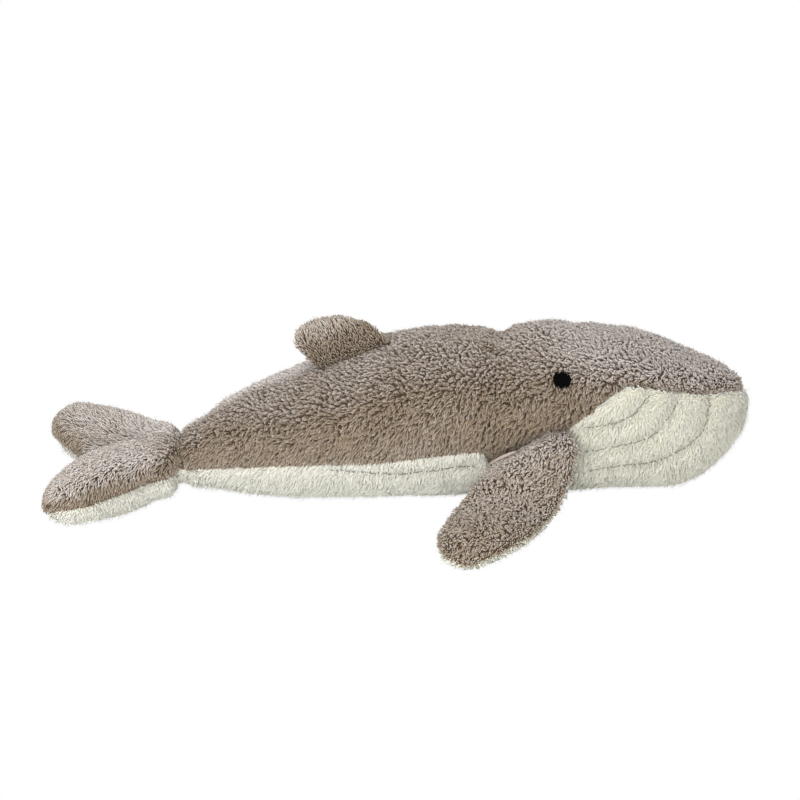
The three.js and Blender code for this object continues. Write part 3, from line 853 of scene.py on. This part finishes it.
def scatter(obj, past, kind, apart, seed):
    """Points on one kind of a surface's cloth that keep apart, with the surface's smooth normals there."""
    rng = np.random.default_rng(seed)
    points, normals = points_of(obj.data), normals_of(obj.data)
    triangles = triangles_of(obj.data)
    sides = past[triangles].max(axis=1) > 0 if kind == "underside" else past[triangles].min(axis=1) <= 0
    triangles = triangles[sides]
    a, b, c = (points[triangles[:, i]] for i in range(3))
    area = np.linalg.norm(np.cross(b - a, c - a), axis=1) / 2
    tries = int(area.sum() / apart**2 * SCATTER_TRIES)
    chosen = rng.choice(len(triangles), tries, p=area / area.sum())
    u, v = rng.random(tries), rng.random(tries)
    flip = u + v > 1
    u[flip], v[flip] = 1 - u[flip], 1 - v[flip]
    shares = np.stack([1 - u - v, u, v], axis=1)[:, :, None]
    at = np.sum(points[triangles[chosen]] * shares, axis=1)
    facing = unit(np.sum(normals[triangles[chosen]] * shares, axis=1))
    past_at = np.sum(past[triangles[chosen]] * shares[:, :, 0], axis=1)
    own = (past_at > 0) == (kind == "underside")
    at, facing, past_at = at[own], facing[own], past_at[own]
    kept = spaced(at, apart * SCATTER_GAP)
    return at[kept], facing[kept], past_at[kept]


def spaced(points, gap):
    """The indices of the points that lie at least a gap from every earlier one that is kept."""
    around = [(i, j, k) for i in (-1, 0, 1) for j in (-1, 0, 1) for k in (-1, 0, 1)]
    cells = np.floor(points / gap).astype(int).tolist()
    taken, kept = {}, []
    for index, (point, (i, j, k)) in enumerate(zip(points.tolist(), cells)):
        near = (other for di, dj, dk in around for other in taken.get((i + di, j + dj, k + dk), ()))
        if all(math.dist(point, other) >= gap for other in near):
            taken.setdefault((i, j, k), []).append(point)
            kept.append(index)
    return kept


def locks(points):
    """The locks that tufts gather into: how near each tuft is to its lock's edge, from 0 in the middle to
    1, and the way to the lock's middle, in lock widths."""
    apart, (low, high) = LOCK["apart"], LOCK["edge"]
    centres = points[spaced(points, apart)]
    tree = tree_of_points(centres)
    found = [tree.find_n(point, 2) for point in points]
    nearest = np.array([first[1] for first, _ in found])
    gap = np.array([second[2] - first[2] for first, second in found])
    return 1 - rise(gap, low * apart, high * apart), (centres[nearest] - points) / apart


def strands(paths, radii, across, sides=3, turn=0.0, pointed_root=False):
    """Tapering strands, one along each path, that close to a point at the tip. across lies over them."""
    count, steps = paths.shape[:2]
    travel = unit(np.gradient(paths, axis=1))
    side = unit(across[:, None, :] - travel * np.sum(across[:, None, :] * travel, axis=2, keepdims=True))
    over = np.cross(travel, side)
    first = 1 if pointed_root else 0
    angles = np.arange(sides) * 2 * math.pi / sides + np.asarray(turn).reshape(-1, 1)
    angles = np.broadcast_to(angles, (count, sides))[:, None, :, None]
    ring = np.cos(angles) * side[:, :, None] + np.sin(angles) * over[:, :, None]
    rings = paths[:, :, None] + ring * radii[:, :, None, None]
    rings = rings[:, first:-1].reshape(count, -1, 3)
    ends = [paths[:, -1:]] + ([paths[:, :1]] if pointed_root else [])
    points = np.concatenate([rings, *ends], axis=1)
    around = steps - 1 - first
    faces = []
    for row in range(around - 1):
        for i in range(sides):
            j = (i + 1) % sides
            a, b, c, d = (row * sides + i, row * sides + j, (row + 1) * sides + j, (row + 1) * sides + i)
            faces += [(a, b, c), (a, c, d)]
    tip, last = around * sides, (around - 1) * sides
    faces += [(last + i, last + (i + 1) % sides, tip) for i in range(sides)]
    if pointed_root:
        faces += [((i + 1) % sides, i, tip + 1) for i in range(sides)]
    place = np.repeat(np.arange(first, steps - 1) / (steps - 1), sides)
    place = np.concatenate([place, [1.0], [0.0] if pointed_root else []])
    return points.reshape(-1, 3), repeated(faces, count, points.shape[1]), np.tile(place, count)


def ribbons(paths, width, across):
    """Flat fibres that narrow to a point."""
    half = across * (width / 2)
    lower, upper, tip = (paths[:, i] for i in range(3))
    narrow = half * FIBRE_NARROWS
    points = np.stack([lower - half, lower + half, upper + narrow, upper - narrow, tip], axis=1)
    faces = [(0, 1, 2), (0, 2, 3), (3, 2, 4)]
    return points.reshape(-1, 3), repeated(faces, len(paths), 5), np.tile(FIBRE_PLACES, len(paths))


def repeated(faces, count, points_each):
    """The faces of one shape, for each of a number of copies."""
    starts = np.arange(count) * points_each
    return (np.array(faces)[None] + starts[:, None, None]).reshape(-1, 3)


def tuft_paths(roots, normals, combs, reach, height, rings):
    """Each tuft stands up from its root, leans over along its comb and drops a little at its tip."""
    out, along = height[:, None] * normals, reach[:, None] * combs
    return np.stack([roots + up * out + over * along for up, over in TUFT_LINES[rings]], axis=1)


class Pile:
    """The tufts of one kind of cloth, or the fine fibres that stand out from them."""

    def __init__(self, tuft, material, slot, softness):
        self.tuft, self.material, self.slot, self.softness = tuft, material, slot, softness

    def grow(self, name, bed, seed, attach):
        """Grows a bed of tufts, in as many pieces as its size needs."""
        rng = np.random.default_rng(seed)
        order = np.argsort(bed["roots"][:, 0], kind="stable")
        each = TUFT_TRIANGLES[self.tuft["rings"]]
        pieces = max(1, math.ceil(len(order) * each / MOST_TRIANGLES))
        for number, part in enumerate(np.array_split(order, pieces)):
            own = f"{name}_{number + 1}" if pieces > 1 else name
            obj = self.piece(own, picked(bed, part), rng)
            obj.data.materials.append(self.material)
            attach(obj)

    def piece(self, name, bed, rng):
        """One mesh of tufts."""
        normals, tuft = bed["normals"], self.tuft
        count = len(normals)
        lean, reach, height = self.stance(bed, rng)
        paths = tuft_paths(bed["roots"], normals, lean, reach, height, tuft["rings"])
        paths[:, -2:] += rng.normal(0, UNEVEN["tip"], (count, 2, 3))
        across = np.cross(normals, lean)
        if tuft["rings"]:
            half = tuft["width"] / 2 * bed["scale"] * rng.uniform(*UNEVEN["width"], count)
            radii = half[:, None] * np.array(TUFT_TAPERS[tuft["rings"]])
            turn = rng.uniform(0, 2 * math.pi, count)
            points, triangles, place = strands(paths, radii, across, turn=turn)
        else:
            twisted = unit(across + rng.normal(0, UNEVEN["fibre_twist"], (count, 3)))
            points, triangles, place = ribbons(paths, tuft["width"], twisted)
        points[:, 2] = np.maximum(points[:, 2], PILE_CLEARANCE)
        each = len(points) // count
        obj = make_object(name, points, triangles, colouring(bed, place, each, rng))
        soften(obj, np.repeat(normals, each, axis=0), self.softness)
        return obj

    def stance(self, bed, rng):
        """How each tuft leans, and how far it reaches along the cloth and up from it."""
        roots, scale, locked = bed["roots"], bed["scale"], bed["lock"]
        count = len(roots)
        ripple = UNEVEN["ripple_share"] * field(roots, UNEVEN["ripple"], seed=12)
        wave = field(roots, UNEVEN["wave"], seed=11) + ripple
        loose = rng.normal(0, UNEVEN["lean"], (count, 3))
        lean = bed["combs"] + bed["curl"][:, None] * wave + loose
        lean = flattened(lean + LOCK["pull"] * locked[:, None] * bed["inward"], bed["normals"])
        reach = self.tuft["reach"] * scale * bed["reach"] * rng.uniform(*UNEVEN["reach"], count)
        between = UNEVEN["height" if self.tuft["rings"] else "fibre_height"]
        height = self.tuft["height"] * scale * rng.uniform(*between, count)
        height *= 1 + UNEVEN["patch_height"] * field(roots, UNEVEN["patch"], seed=13, channels=1)[:, 0]
        height *= 1 - LOCK["edge_height"] * locked * bed["edge"]
        return lean, reach, height


def colouring(bed, place, each, rng):
    """Each point's tone, and how far it is from its tuft's root colour to its tip colour."""
    low, high = UV_ENDS
    loose = rng.normal(0, UNEVEN["tone"], len(bed["tone"]))
    # Lock edges are painted darker, as shade between the locks.
    tone = bed["tone"] - LOCK["edge_shade"] * bed["lock"] * bed["edge"] + loose
    pale = np.repeat(bed["pale"], each)
    tone = np.repeat(np.clip(tone, low, high), each)
    return np.stack([tone, pale + (high - pale) * place], axis=1)


def soften(obj, bed_normals, share):
    """Shades tufts partly as the cloth under them, as light that passes through fibres does."""
    blended = unit(normals_of(obj.data) * (1 - share) + bed_normals * share)
    obj.data.normals_split_custom_set_from_vertices(blended.tolist())


back_pile = Pile(
    BACK_TUFT,
    pile_material(
        "back_pile",
        # The dark roots are partly painted shade between the tufts.
        roots=(srgb(84, 64, 46), srgb(104, 90, 80)),
        tips=(srgb(172, 155, 132), srgb(243, 237, 233)),
        glow=0.27,
        sheen=0.25,
    ),
    "back_plush",
    softness=0.2,
)
underside_pile = Pile(
    UNDERSIDE_TUFT,
    pile_material(
        "underside_pile",
        roots=(srgb(226, 224, 202), srgb(252, 249, 228)),
        tips=(srgb(238, 237, 216), srgb(255, 255, 241)),
        glow=0.7,
        sheen=0.5,
    ),
    "belly_plush",
    softness=0.7,
)


def on_body(obj):
    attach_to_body(obj, "torso")


def on_fluke_body(obj):
    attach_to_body(obj, "flukes")


def over_neck(obj):
    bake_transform(obj)


def over_root(hinge, outwards, reach):
    """Leaves a piece between the body and a limb where it is, with its place baked into its mesh; it is not
    bent over the root.
    """
    start = hinge_place(hinge)
    end = start + unit(np.array(outwards, float)) * reach
    return lambda obj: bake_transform(obj)


def bed_of(roots, normals, combs, **looks):
    """Where tufts grow and how each looks: its curl, reach, tone and scale, how strongly it joins a lock,
    and how pale its root is."""
    edge, inward = locks(roots)
    bed = {"roots": roots, "normals": normals, "combs": combs, "edge": edge, "inward": inward}
    return bed | {key: np.broadcast_to(value, len(roots)) for key, value in looks.items()}


def picked(bed, mask):
    return {key: value[mask] for key, value in bed.items()}


def comb_body(points, normals):
    """The pile hangs down the body's sides and lies back along its top, and fans out over the flukes."""
    side = rise(1 - np.abs(normals[:, 2]), *UPRIGHT)[:, None]
    body = np.array([-0.5, 0.0, 0.0]) + side * np.array([-0.1, 0.0, -1.0])
    out = np.tanh(points[:, 1] / FLUKES_PARTING)[:, None]
    flukes = np.array([-0.6, 0.0, -0.35]) + out * (1 - side) * [0.0, 1.0, 0.0] - side * [0.0, 0.0, 1.0]
    share = on_flukes(points)[:, None]
    return flattened(body * (1 - share) + flukes * share, normals)


def cover_body(kind, tuft, seed, keep_off, grow):
    """Covers one kind of the body's cloth with tufts that keep off the eyes."""
    roots, normals, past = scatter(body_skin, body_past, kind, tuft["apart"], seed)
    to_eye = distances(eye_tree, roots)
    clear = to_eye > keep_off
    roots, normals, past, to_eye = roots[clear], normals[clear], past[clear], to_eye[clear]
    looks = {"back": back_looks, "underside": underside_looks}[kind](roots, normals, past, to_eye)
    bed = bed_of(roots, normals, comb_body(roots, normals), **looks)
    for region, inside, attach in body_regions(roots):
        grow(kind, f"{kind}_{region}", picked(bed, inside), attach)


def back_looks(roots, normals, past, to_eye):
    """The taupe pile curls and gathers into locks on top, hangs longer and straighter down the sides, and
    lies flat on the flukes. It is short where a seam or a crease parts it. Its tone is painted light and
    shade:
    lighter where it faces up or down, on the head's top, which is also paler in itself, and on the rim-lit
    far crest, and darker in the hollow over the flippers, in its partings, behind the right fluke's ridge and
    along the flukes' seam."""
    x, y, _ = roots.T
    to_flipper = distances(flipper_tree, roots)
    flukes = on_flukes(roots)
    head = rise(x, *HEAD)
    top = np.maximum(rise(normals[:, 2], *TOP_SIDE), SNOUT_TOP * rise(x, *SNOUT))
    hollow = valley(to_flipper, FLIPPER_HOLLOW)
    crest = rise(normals[:, 2], *CREST_SIDE)
    rim_lit_far_crest = rise(y, *FAR_SIDE) * rise(-x, *TAIL_STOCK) * (1 - flukes)
    parted = sum(depth / 3 * crease(roots, start, end, CREASE_WIDTH["pile"]) for depth, start, end in CREASES)
    parted += 1.5 * valley(to_flipper, PARTING["flipper"])
    parted += 0.8 * valley_at(x, TAIL_X, PINCH_WIDTH)
    # Painted light where the pile faces up or down and on the head's top, which is partly the head's own
    # paler pile; painted shade in the hollow over the flipper and where the pile is parted.
    on_body_tones = {
        "low": 1 - rise(normals[:, 2], *LOW_SIDE),
        "crest": crest,
        "head": head * top,
        "hollow": hollow,
        "parted": parted,
    }
    # Painted light on the flukes' tops, painted shade behind the right fluke's ridge and along the flukes'
    # seam.
    on_fluke_tones = {
        "fluke_top_light": top,
        "ridge_shade": valley_at(behind_ridge(roots), *RIDGE_SHADE) * flukes,
        "fluke_seam_shade": valley(past, FLUKE_SEAM_SHADE),
    }
    tone = sum((BACK_TONE[place] * share for place, share in on_body_tones.items()), BACK_TONE["all"])
    fluke_tone = sum(BACK_TONE[place] * share for place, share in on_fluke_tones.items())
    # The rim lamp's light is painted on the far crest of the tail stock.
    tone += fluke_tone * flukes + BACK_TONE["rim_lit_far_crest"] * rim_lit_far_crest * crest
    short = 0.4 * valley(to_eye, PARTING["eye"]) + 0.2 * valley(past, PARTING["seam"])
    short = short + 0.2 * flukes + 0.45 * parted
    long = 1.6 - 0.75 * top + (0.4 + 0.75 * top) * flukes
    locked = 0.2 + 0.8 * top**2 + 0.4 * hollow * (1 - top)
    return {
        "curl": (0.25 + 0.6 * top) * (1 - 0.6 * flukes),
        "reach": long * (1 - 0.6 * valley(past, SEAM_SHORT)),
        "tone": tone + 0.13 * field(roots, DYE_CELL, seed=14, channels=1)[:, 0],
        "scale": 1 - short,
        "lock": locked * (1 - 0.3 * head * top) * (1 - flukes),
        # Darker roots on top and in the hollow are painted shade between the tufts; paler roots on the
        # flukes' tops and the far crest are painted light.
        "pale": 0.12 - 0.12 * top - 0.1 * hollow * (1 - top) + 0.45 * top * flukes + 0.4 * rim_lit_far_crest,
    }


def underside_looks(roots, normals, *_):
    """The cream pile is thick and even. It is darker under the throat and the flukes, painted lighter where
    it faces up as painted light, and parts along the pleats."""
    throat = rise(roots[:, 0], *THROAT)
    top = rise(normals[:, 2], *TOP_SIDE)
    return {
        "curl": 0.6,
        "reach": 1.0,
        # The share that rises where the pile faces up is painted light.
        "tone": 0.95 - 0.75 * throat - 0.35 * on_flukes(roots) + 0.3 * top,
        "scale": 1 - 0.5 * valley(distances(pleat_tree, roots), PARTING["pleat"]),
        "lock": 0.2,
        "pale": 0.5,
    }


def body_regions(roots):
    """The body's pile in three parts: each one's name, its tufts and what it moves with."""
    at_neck = np.abs(roots[:, 0] - TAIL_X) <= NECK_REACH + NECK_MARGIN
    ahead = roots[:, 0] > TAIL_X
    return (
        ("body", ahead & ~at_neck, on_body),
        ("tail_neck", at_neck, over_neck),
        ("flukes", ~ahead & ~at_neck, on_fluke_body),
    )


def cover_leaf(name, kind, tuft, seed, grow):
    roots, normals, past = scatter(*leaves[name], kind, tuft["apart"], seed)
    looks = (fin_looks if name == "dorsal_fin" else flipper_looks)(roots, normals, past)
    bed = bed_of(roots, normals, combs[name](roots, normals, kind), **looks)
    grow(kind, f"{name}_{kind}", bed, on_leaf[name])


def flipper_looks(roots, normals, past):
    """Curly pile, pale at the root and darker at the tip, and painted lighter on its upper face as painted
    light. The cream pile reaches out past the rim.
    """
    away = np.abs(roots[:, 1])
    top = rise(normals[:, 2], *FLIPPER_TOP_SIDE)
    root = valley_at(away, *FLIPPER_PALE_ROOT)
    rim = valley(past, FLIPPER_RIM)
    return {
        "curl": (0.5 + 0.5 * top) * (1 - 0.8 * rim),
        "reach": 1.0 + np.where(past > 0, 0.15, -0.5) * rim,
        # The share that rises with top is painted light on the flipper's upper face.
        "tone": 0.13 + 0.27 * top + 0.3 * root - 0.15 * rise(away, *FLIPPER_DARK_TIP),
        "scale": 1 - 0.45 * valley_at(away, *FLIPPER_SHORT),
        "lock": 0.5,
        "pale": 0.22,
    }


def fin_looks(roots, *_):
    """Short pile that grows paler up the fin."""
    high = rise(settle_fin(roots)[0], *FIN_PALES)
    return {
        "curl": 0.4,
        "reach": 1.2 + 0.3 * high,
        "tone": 0.45 * high,
        "scale": 0.85,
        "lock": 0.0,
        "pale": 0.08 + 0.42 * high,
    }


def comb_flipper(sign):
    """The upper pile lies back towards the tip, and the lower pile spreads out past the flipper's rim."""
    x, y = FLIPPER_MIDDLE
    ahead = np.array([0.84, sign * 0.55, 0.0])

    def comb(points, normals, kind):
        if kind == "back":
            return flattened(np.tile([-0.6, sign * 1.0, -0.4], (len(points), 1)), normals)
        side = np.tanh((points - np.array([x, sign * y, 0.0])) @ ahead / FLIPPER_PARTING)
        return flattened(side[:, None] * ahead + [-0.2, sign * 0.3, -0.2], normals)

    return comb


def comb_fin(points, normals, _):
    """The fin's pile stands up and lies back."""
    return flattened(np.tile([-0.45, 0.0, 1.0], (len(points), 1)), normals)


on_leaf = {"dorsal_fin": over_root("dorsal_fin_lean", FIN_AWAY, ROOT_BEND["fin"])}
combs = {"dorsal_fin": comb_fin}
for side, sign in SIDES:
    leaf = f"{side}_flipper"
    on_leaf[leaf] = over_root(f"{leaf}_lift", (0, sign, 0), ROOT_BEND["flipper"])
    combs[leaf] = comb_flipper(sign)

piles = {"back": back_pile, "underside": underside_pile}


def grow_pile(kind, name, bed, attach):
    piles[kind].grow(f"{name}_pile", bed, 31, attach)


def grow_fuzz(kind, name, bed, attach):
    """The fine fibres are painted paler than the tufts that they stand out from, as painted light: the bright
    halo that light gives them at the outline.
    """
    pile = piles[kind]
    bed = bed | {"tone": bed["tone"] + 0.25, "pale": bed["pale"] + 0.15}
    Pile(FUZZ, pile.material, pile.slot, softness=0.8).grow(f"{name}_fuzz", bed, 32, attach)


def cover(kind, tuft, seed, keep_off, grow):
    """Covers all the cloth of one kind. The fin has no underside."""
    cover_body(kind, tuft, seed, keep_off, grow)
    for number, name in enumerate(leaves):
        if kind == "back" or name != "dorsal_fin":
            cover_leaf(name, kind, tuft, seed + 20 + number, grow)


for kind, pile in piles.items():
    cover(kind, pile.tuft, 21, EYE_CLEARANCE["pile"], grow_pile)
    cover(kind, FUZZ, 25, EYE_CLEARANCE["fuzz"], grow_fuzz)


# Finishing the cloth

# The back's knit is dark as painted shade in the gaps between the tufts; the bare knit is the cloth's own
# colour.
dark_back_knit_shade = knit_material("back_knit_painted_shade", srgb(58, 46, 36), srgb(104, 88, 74))
bare_knit = knit_material("bare_knit", srgb(150, 134, 122), srgb(206, 194, 184))
knit_underside = knit_material("underside_knit", srgb(214, 208, 186), srgb(238, 234, 214))


def dress(obj, past, attach, *stood_for):
    obj.data.materials.append(dark_back_knit_shade)
    obj.data.materials.append(knit_underside)
    below = [np.mean(past[list(face.vertices)]) > 0 for face in obj.data.polygons]
    obj.data.polygons.foreach_set("material_index", np.array(below, np.int32))
    attach(obj)
    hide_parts(*stood_for)


dress(body_skin, body_past, over_neck, *BACK_NODES, "underside_panel", "flukes_upper", "flukes_lower")
for name, (skin, past) in leaves.items():
    panels = FIN_PARTS[:2] if name == "dorsal_fin" else (f"{name}_upper", f"{name}_lower")
    dress(skin, past, on_leaf[name], *panels)


# The fillings


def fill(name, node, body):
    """Matted fibre in place of a plain CAD filling."""
    obj = pouch(name, (node,), FIBRE["voxel"], relax=2)
    if body == "dorsal_fin":
        points = points_of(obj.data)
        move_points(obj, points + settle_fin(points)[1])
    clumps = field(points_of(obj.data), FIBRE["cell"], seed=51, channels=1)[:, 0]
    sink(obj, FIBRE["depth"] + FIBRE["clump"] * clumps)
    if body == "flukes":
        sink(obj, FIBRE["ridge"] * ridge_step(points_of(obj.data), normals_of(obj.data)))
    obj.data.materials.append(fibre)
    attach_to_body(obj, body)
    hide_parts(node)


fibre = filling_material("fibre")
fill("body_fibre", "body_filling", "torso")
fill("flukes_fibre", "flukes_filling", "flukes")
fill("dorsal_fin_fibre", "dorsal_fin_filling", "dorsal_fin")
for side, sign in SIDES:
    fill(f"{side}_flipper_fibre", f"{side}_flipper_filling", f"{side}_flipper")


# Sewn details

eye_thread = thread_material("eye_thread", srgb(1, 1, 2), srgb(8, 8, 9), 0.95, scale=1500)
pleat_thread = thread_material("pleat_thread", srgb(98, 92, 78), srgb(146, 138, 120), 0.9, scale=1200)


def sewn(name, paths, radii, across, sides, material):
    """A piece of threads or rolled cloth, each closed at both ends."""
    radii[:, 0] = radii[:, -1] = 0
    points, triangles, _ = strands(paths, radii, across, sides=sides, pointed_root=True)
    obj = make_object(name, points, triangles)
    obj.data.materials.append(material)
    return obj


def stitch_eye(side):
    """Satin stitches side by side over the CAD eye, with uneven ends."""
    points = points_of(nodes[f"{side}_eye"].data)
    centre = points.mean(axis=0)
    along, down, out = np.linalg.svd(points - centre, full_matrices=False)[2]
    out = out * math.copysign(1, out[1] * centre[1])
    reach = np.ptp((points - centre) @ along) / 2
    drop = np.ptp((points - centre) @ down) / 2
    rng = np.random.default_rng(61)
    count, steps = EYE["stitches"], EYE["steps"]
    place = np.linspace(-EYE["cover"], EYE["cover"], count)
    loose = rng.uniform(*EYE["ends"], count)
    half = EYE["overlap"] * drop * np.sqrt(1 - place**2) * loose + EYE["margin"]
    t = np.linspace(-1, 1, steps)
    waves = [1 + deep * np.sin(times * place + start)[:, None] for deep, times, start in EYE["waves"]]
    ends = np.where(t[None] < 0, *waves)
    base = centre + along * (place * reach)[:, None]
    lift = EYE["lift"] * np.sqrt(1 - EYE["round"] * place**2)
    slant = rng.normal(0, EYE["slant"], count)
    paths = (
        base[:, None]
        + down * (half[:, None] * ends * t)[:, :, None]
        + out * (lift[:, None] * (1 - t**4) - EYE["sink"])[:, :, None]
        + along * (slant[:, None] * t)[:, :, None]
    )
    radii = np.full((count, steps), EYE["radius"])
    across = np.tile(along, (count, 1))
    obj = sewn(f"{side}_eye_stitches", paths, radii, across, sides=6, material=eye_thread)
    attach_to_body(obj, "torso")
    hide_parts(f"{side}_eye")


def fold_root_seam(side, sign):
    """The bare fold of cloth along the rear of a flipper's root seam, and a smaller one under it."""
    t = np.linspace(0, 1, ROOT_FOLD_STEPS)[:, None]
    lines = []
    for start, middle, end in ROOT_FOLDS:
        lines.append((1 - t) ** 2 * start + 2 * t * (1 - t) * np.array(middle) + t**2 * np.array(end))
    paths = np.array(lines) * [1, sign, 1] * MM
    radii = np.array(ROOT_FOLD_RADII)[:, None] * np.sin(math.pi * t.T) ** 0.6
    across = np.tile([0.0, sign * 0.5, -1.0], (2, 1))
    obj = sewn(f"{side}_root_fold", paths, radii, across, sides=9, material=bare_knit)
    on_leaf[f"{side}_flipper"](obj)


def stitch_pleat(name):
    """Running stitches that dip into the pile, along a CAD thread."""
    line = centre_line(points_of(nodes[name].data))
    length = np.concatenate([[0], np.cumsum(np.linalg.norm(np.diff(line, axis=0), axis=1))])
    stitch, steps = STITCH["length"], STITCH["steps"]
    starts = np.arange(STITCH["first"], length[-1] - stitch, STITCH["pitch"])
    at = starts[:, None] + np.linspace(0, stitch, steps)[None]
    paths = np.stack([np.interp(at, length, line[:, i]) for i in range(3)], axis=2)
    middles = paths[:, steps // 2]
    on_cloth, outwards = nearest_on_body(middles)
    outwards = unit(evened(outwards))
    above = evened(np.sum((middles - on_cloth) * outwards, axis=1))
    arch = 1 - np.linspace(-1, 1, steps) ** 2
    rising = (STITCH_HEIGHTS[0] + STITCH_HEIGHTS[1] * arch) * MM - above[:, None]
    paths += outwards[:, None] * rising[:, :, None]
    radii = np.full(at.shape, STITCH["radius"])
    across = np.cross(outwards, paths[:, -1] - paths[:, 0])
    obj = sewn(name.replace("pleat", "stitches"), paths, radii, across, sides=5, material=pleat_thread)
    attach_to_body(obj, "torso")
    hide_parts(name)


def evened(values, reach=2):
    """Each value's mean with its neighbours along a line."""
    edges = [(reach, reach)] + [(0, 0)] * (values.ndim - 1)
    longer = np.pad(values, edges, mode="edge")
    return np.mean([longer[i : i + len(values)] for i in range(2 * reach + 1)], axis=0)


def centre_line(points):
    """The middle of a CAD thread, from one ring of its points to the next."""
    tree = tree_of_points(points)
    left = set(range(len(points)))

    def next_ring(place):
        near = [index for _, index, _ in tree.find_n(place, len(points)) if index in left]
        return near[:THREAD_SIDES]

    current = points[np.argsort(points[:, 0])[0]]
    line = []
    while left:
        ring = next_ring(current)
        line.append(points[ring].mean(axis=0))
        left -= set(ring)
        if left:
            current = points[next_ring(line[-1])].mean(axis=0)
    return np.array(line)


body_tree = tree_of([body_skin])


def nearest_on_body(points):
    found = [body_tree.find_nearest(p) for p in points.tolist()]
    return np.array([f[0] for f in found]), np.array([f[1] for f in found])


for side, sign in SIDES:
    stitch_eye(side)
    fold_root_seam(side, sign)
for name in pleats:
    stitch_pleat(name)


# Camera, floor and light


def make_camera():
    """The photograph's camera, which sees the frame's origin at its place in the picture."""
    azimuth, elevation = CAMERA_AZIMUTH, CAMERA_ELEVATION
    level = math.cos(elevation)
    back = Vector((math.sin(azimuth) * level, -math.cos(azimuth) * level, math.sin(elevation)))
    right = Vector((math.cos(azimuth), math.sin(azimuth), 0))
    up = back.cross(right)
    middle = PICTURE_PX / 2
    aim = right * ((middle - ORIGIN_PX[0]) / PX_PER_M) + up * ((ORIGIN_PX[1] - middle) / PX_PER_M)
    data = bpy.data.cameras.new("camera")
    data.sensor_width = SENSOR * 1000
    data.lens = PX_PER_M * CAMERA_DISTANCE * SENSOR * 1000 / PICTURE_PX
    camera = bpy.data.objects.new("camera", data)
    camera.location = back * CAMERA_DISTANCE
    camera.rotation_mode = "QUATERNION"
    camera.rotation_quaternion = (aim - camera.location).to_track_quat("-Z", "Y")
    bpy.context.scene.collection.objects.link(camera)
    bpy.context.scene.camera = camera


def make_floor():
    """A floor that lights the whale as white paper does, and looks plain white to the camera."""
    bpy.ops.mesh.primitive_plane_add(size=FLOOR_SIZE, location=(0, 0, -FLOOR_DROP))
    floor = bpy.context.object
    floor.name = "floor"
    material = bpy.data.materials.new("floor")
    material.use_nodes = True
    tree = material.node_tree
    paper = tree.nodes["Principled BSDF"]
    paper.inputs["Base Color"].default_value = PAPER_COLOUR
    paper.inputs["Roughness"].default_value = 1
    glow = tree.nodes.new("ShaderNodeEmission")
    show_plain(tree, paper, glow, "Material Output")
    floor.data.materials.append(material)


def make_world():
    """A pale room that lights the whale, and looks plain white to the camera."""
    world = bpy.data.worlds.new("world")
    bpy.context.scene.world = world
    world.use_nodes = True
    tree = world.node_tree
    room = tree.nodes["Background"]
    room.inputs["Color"].default_value = ROOM_COLOUR
    room.inputs["Strength"].default_value = ROOM_STRENGTH
    white = tree.nodes.new("ShaderNodeBackground")
    white.inputs["Color"].default_value = WHITE
    show_plain(tree, room, white, "World Output")


def show_plain(tree, lit, plain, output):
    """Shows the camera a plain shader, and all else the lit one."""
    seen = tree.nodes.new("ShaderNodeLightPath")
    mixed = tree.nodes.new("ShaderNodeMixShader")
    tree.links.new(seen.outputs["Is Camera Ray"], mixed.inputs[0])
    tree.links.new(lit.outputs[0], mixed.inputs[1])
    tree.links.new(plain.outputs[0], mixed.inputs[2])
    tree.links.new(mixed.outputs[0], tree.nodes[output].inputs[0])


def make_lamp(name, place, size, power, colour):
    """A round area lamp that faces the whale."""
    data = bpy.data.lights.new(name, "AREA")
    data.shape = "DISK"
    data.size = size
    data.energy = power
    data.color = colour
    lamp = bpy.data.objects.new(name, data)
    lamp.location = place
    lamp.rotation_mode = "QUATERNION"
    lamp.rotation_quaternion = (Vector(LAMP_AIM) - lamp.location).to_track_quat("-Z", "Y")
    bpy.context.scene.collection.objects.link(lamp)


make_camera()
make_floor()
make_world()
for lamp in LAMPS:
    make_lamp(*lamp)

scene = bpy.context.scene
scene.view_settings.view_transform = "Standard"
scene.render.film_transparent = False
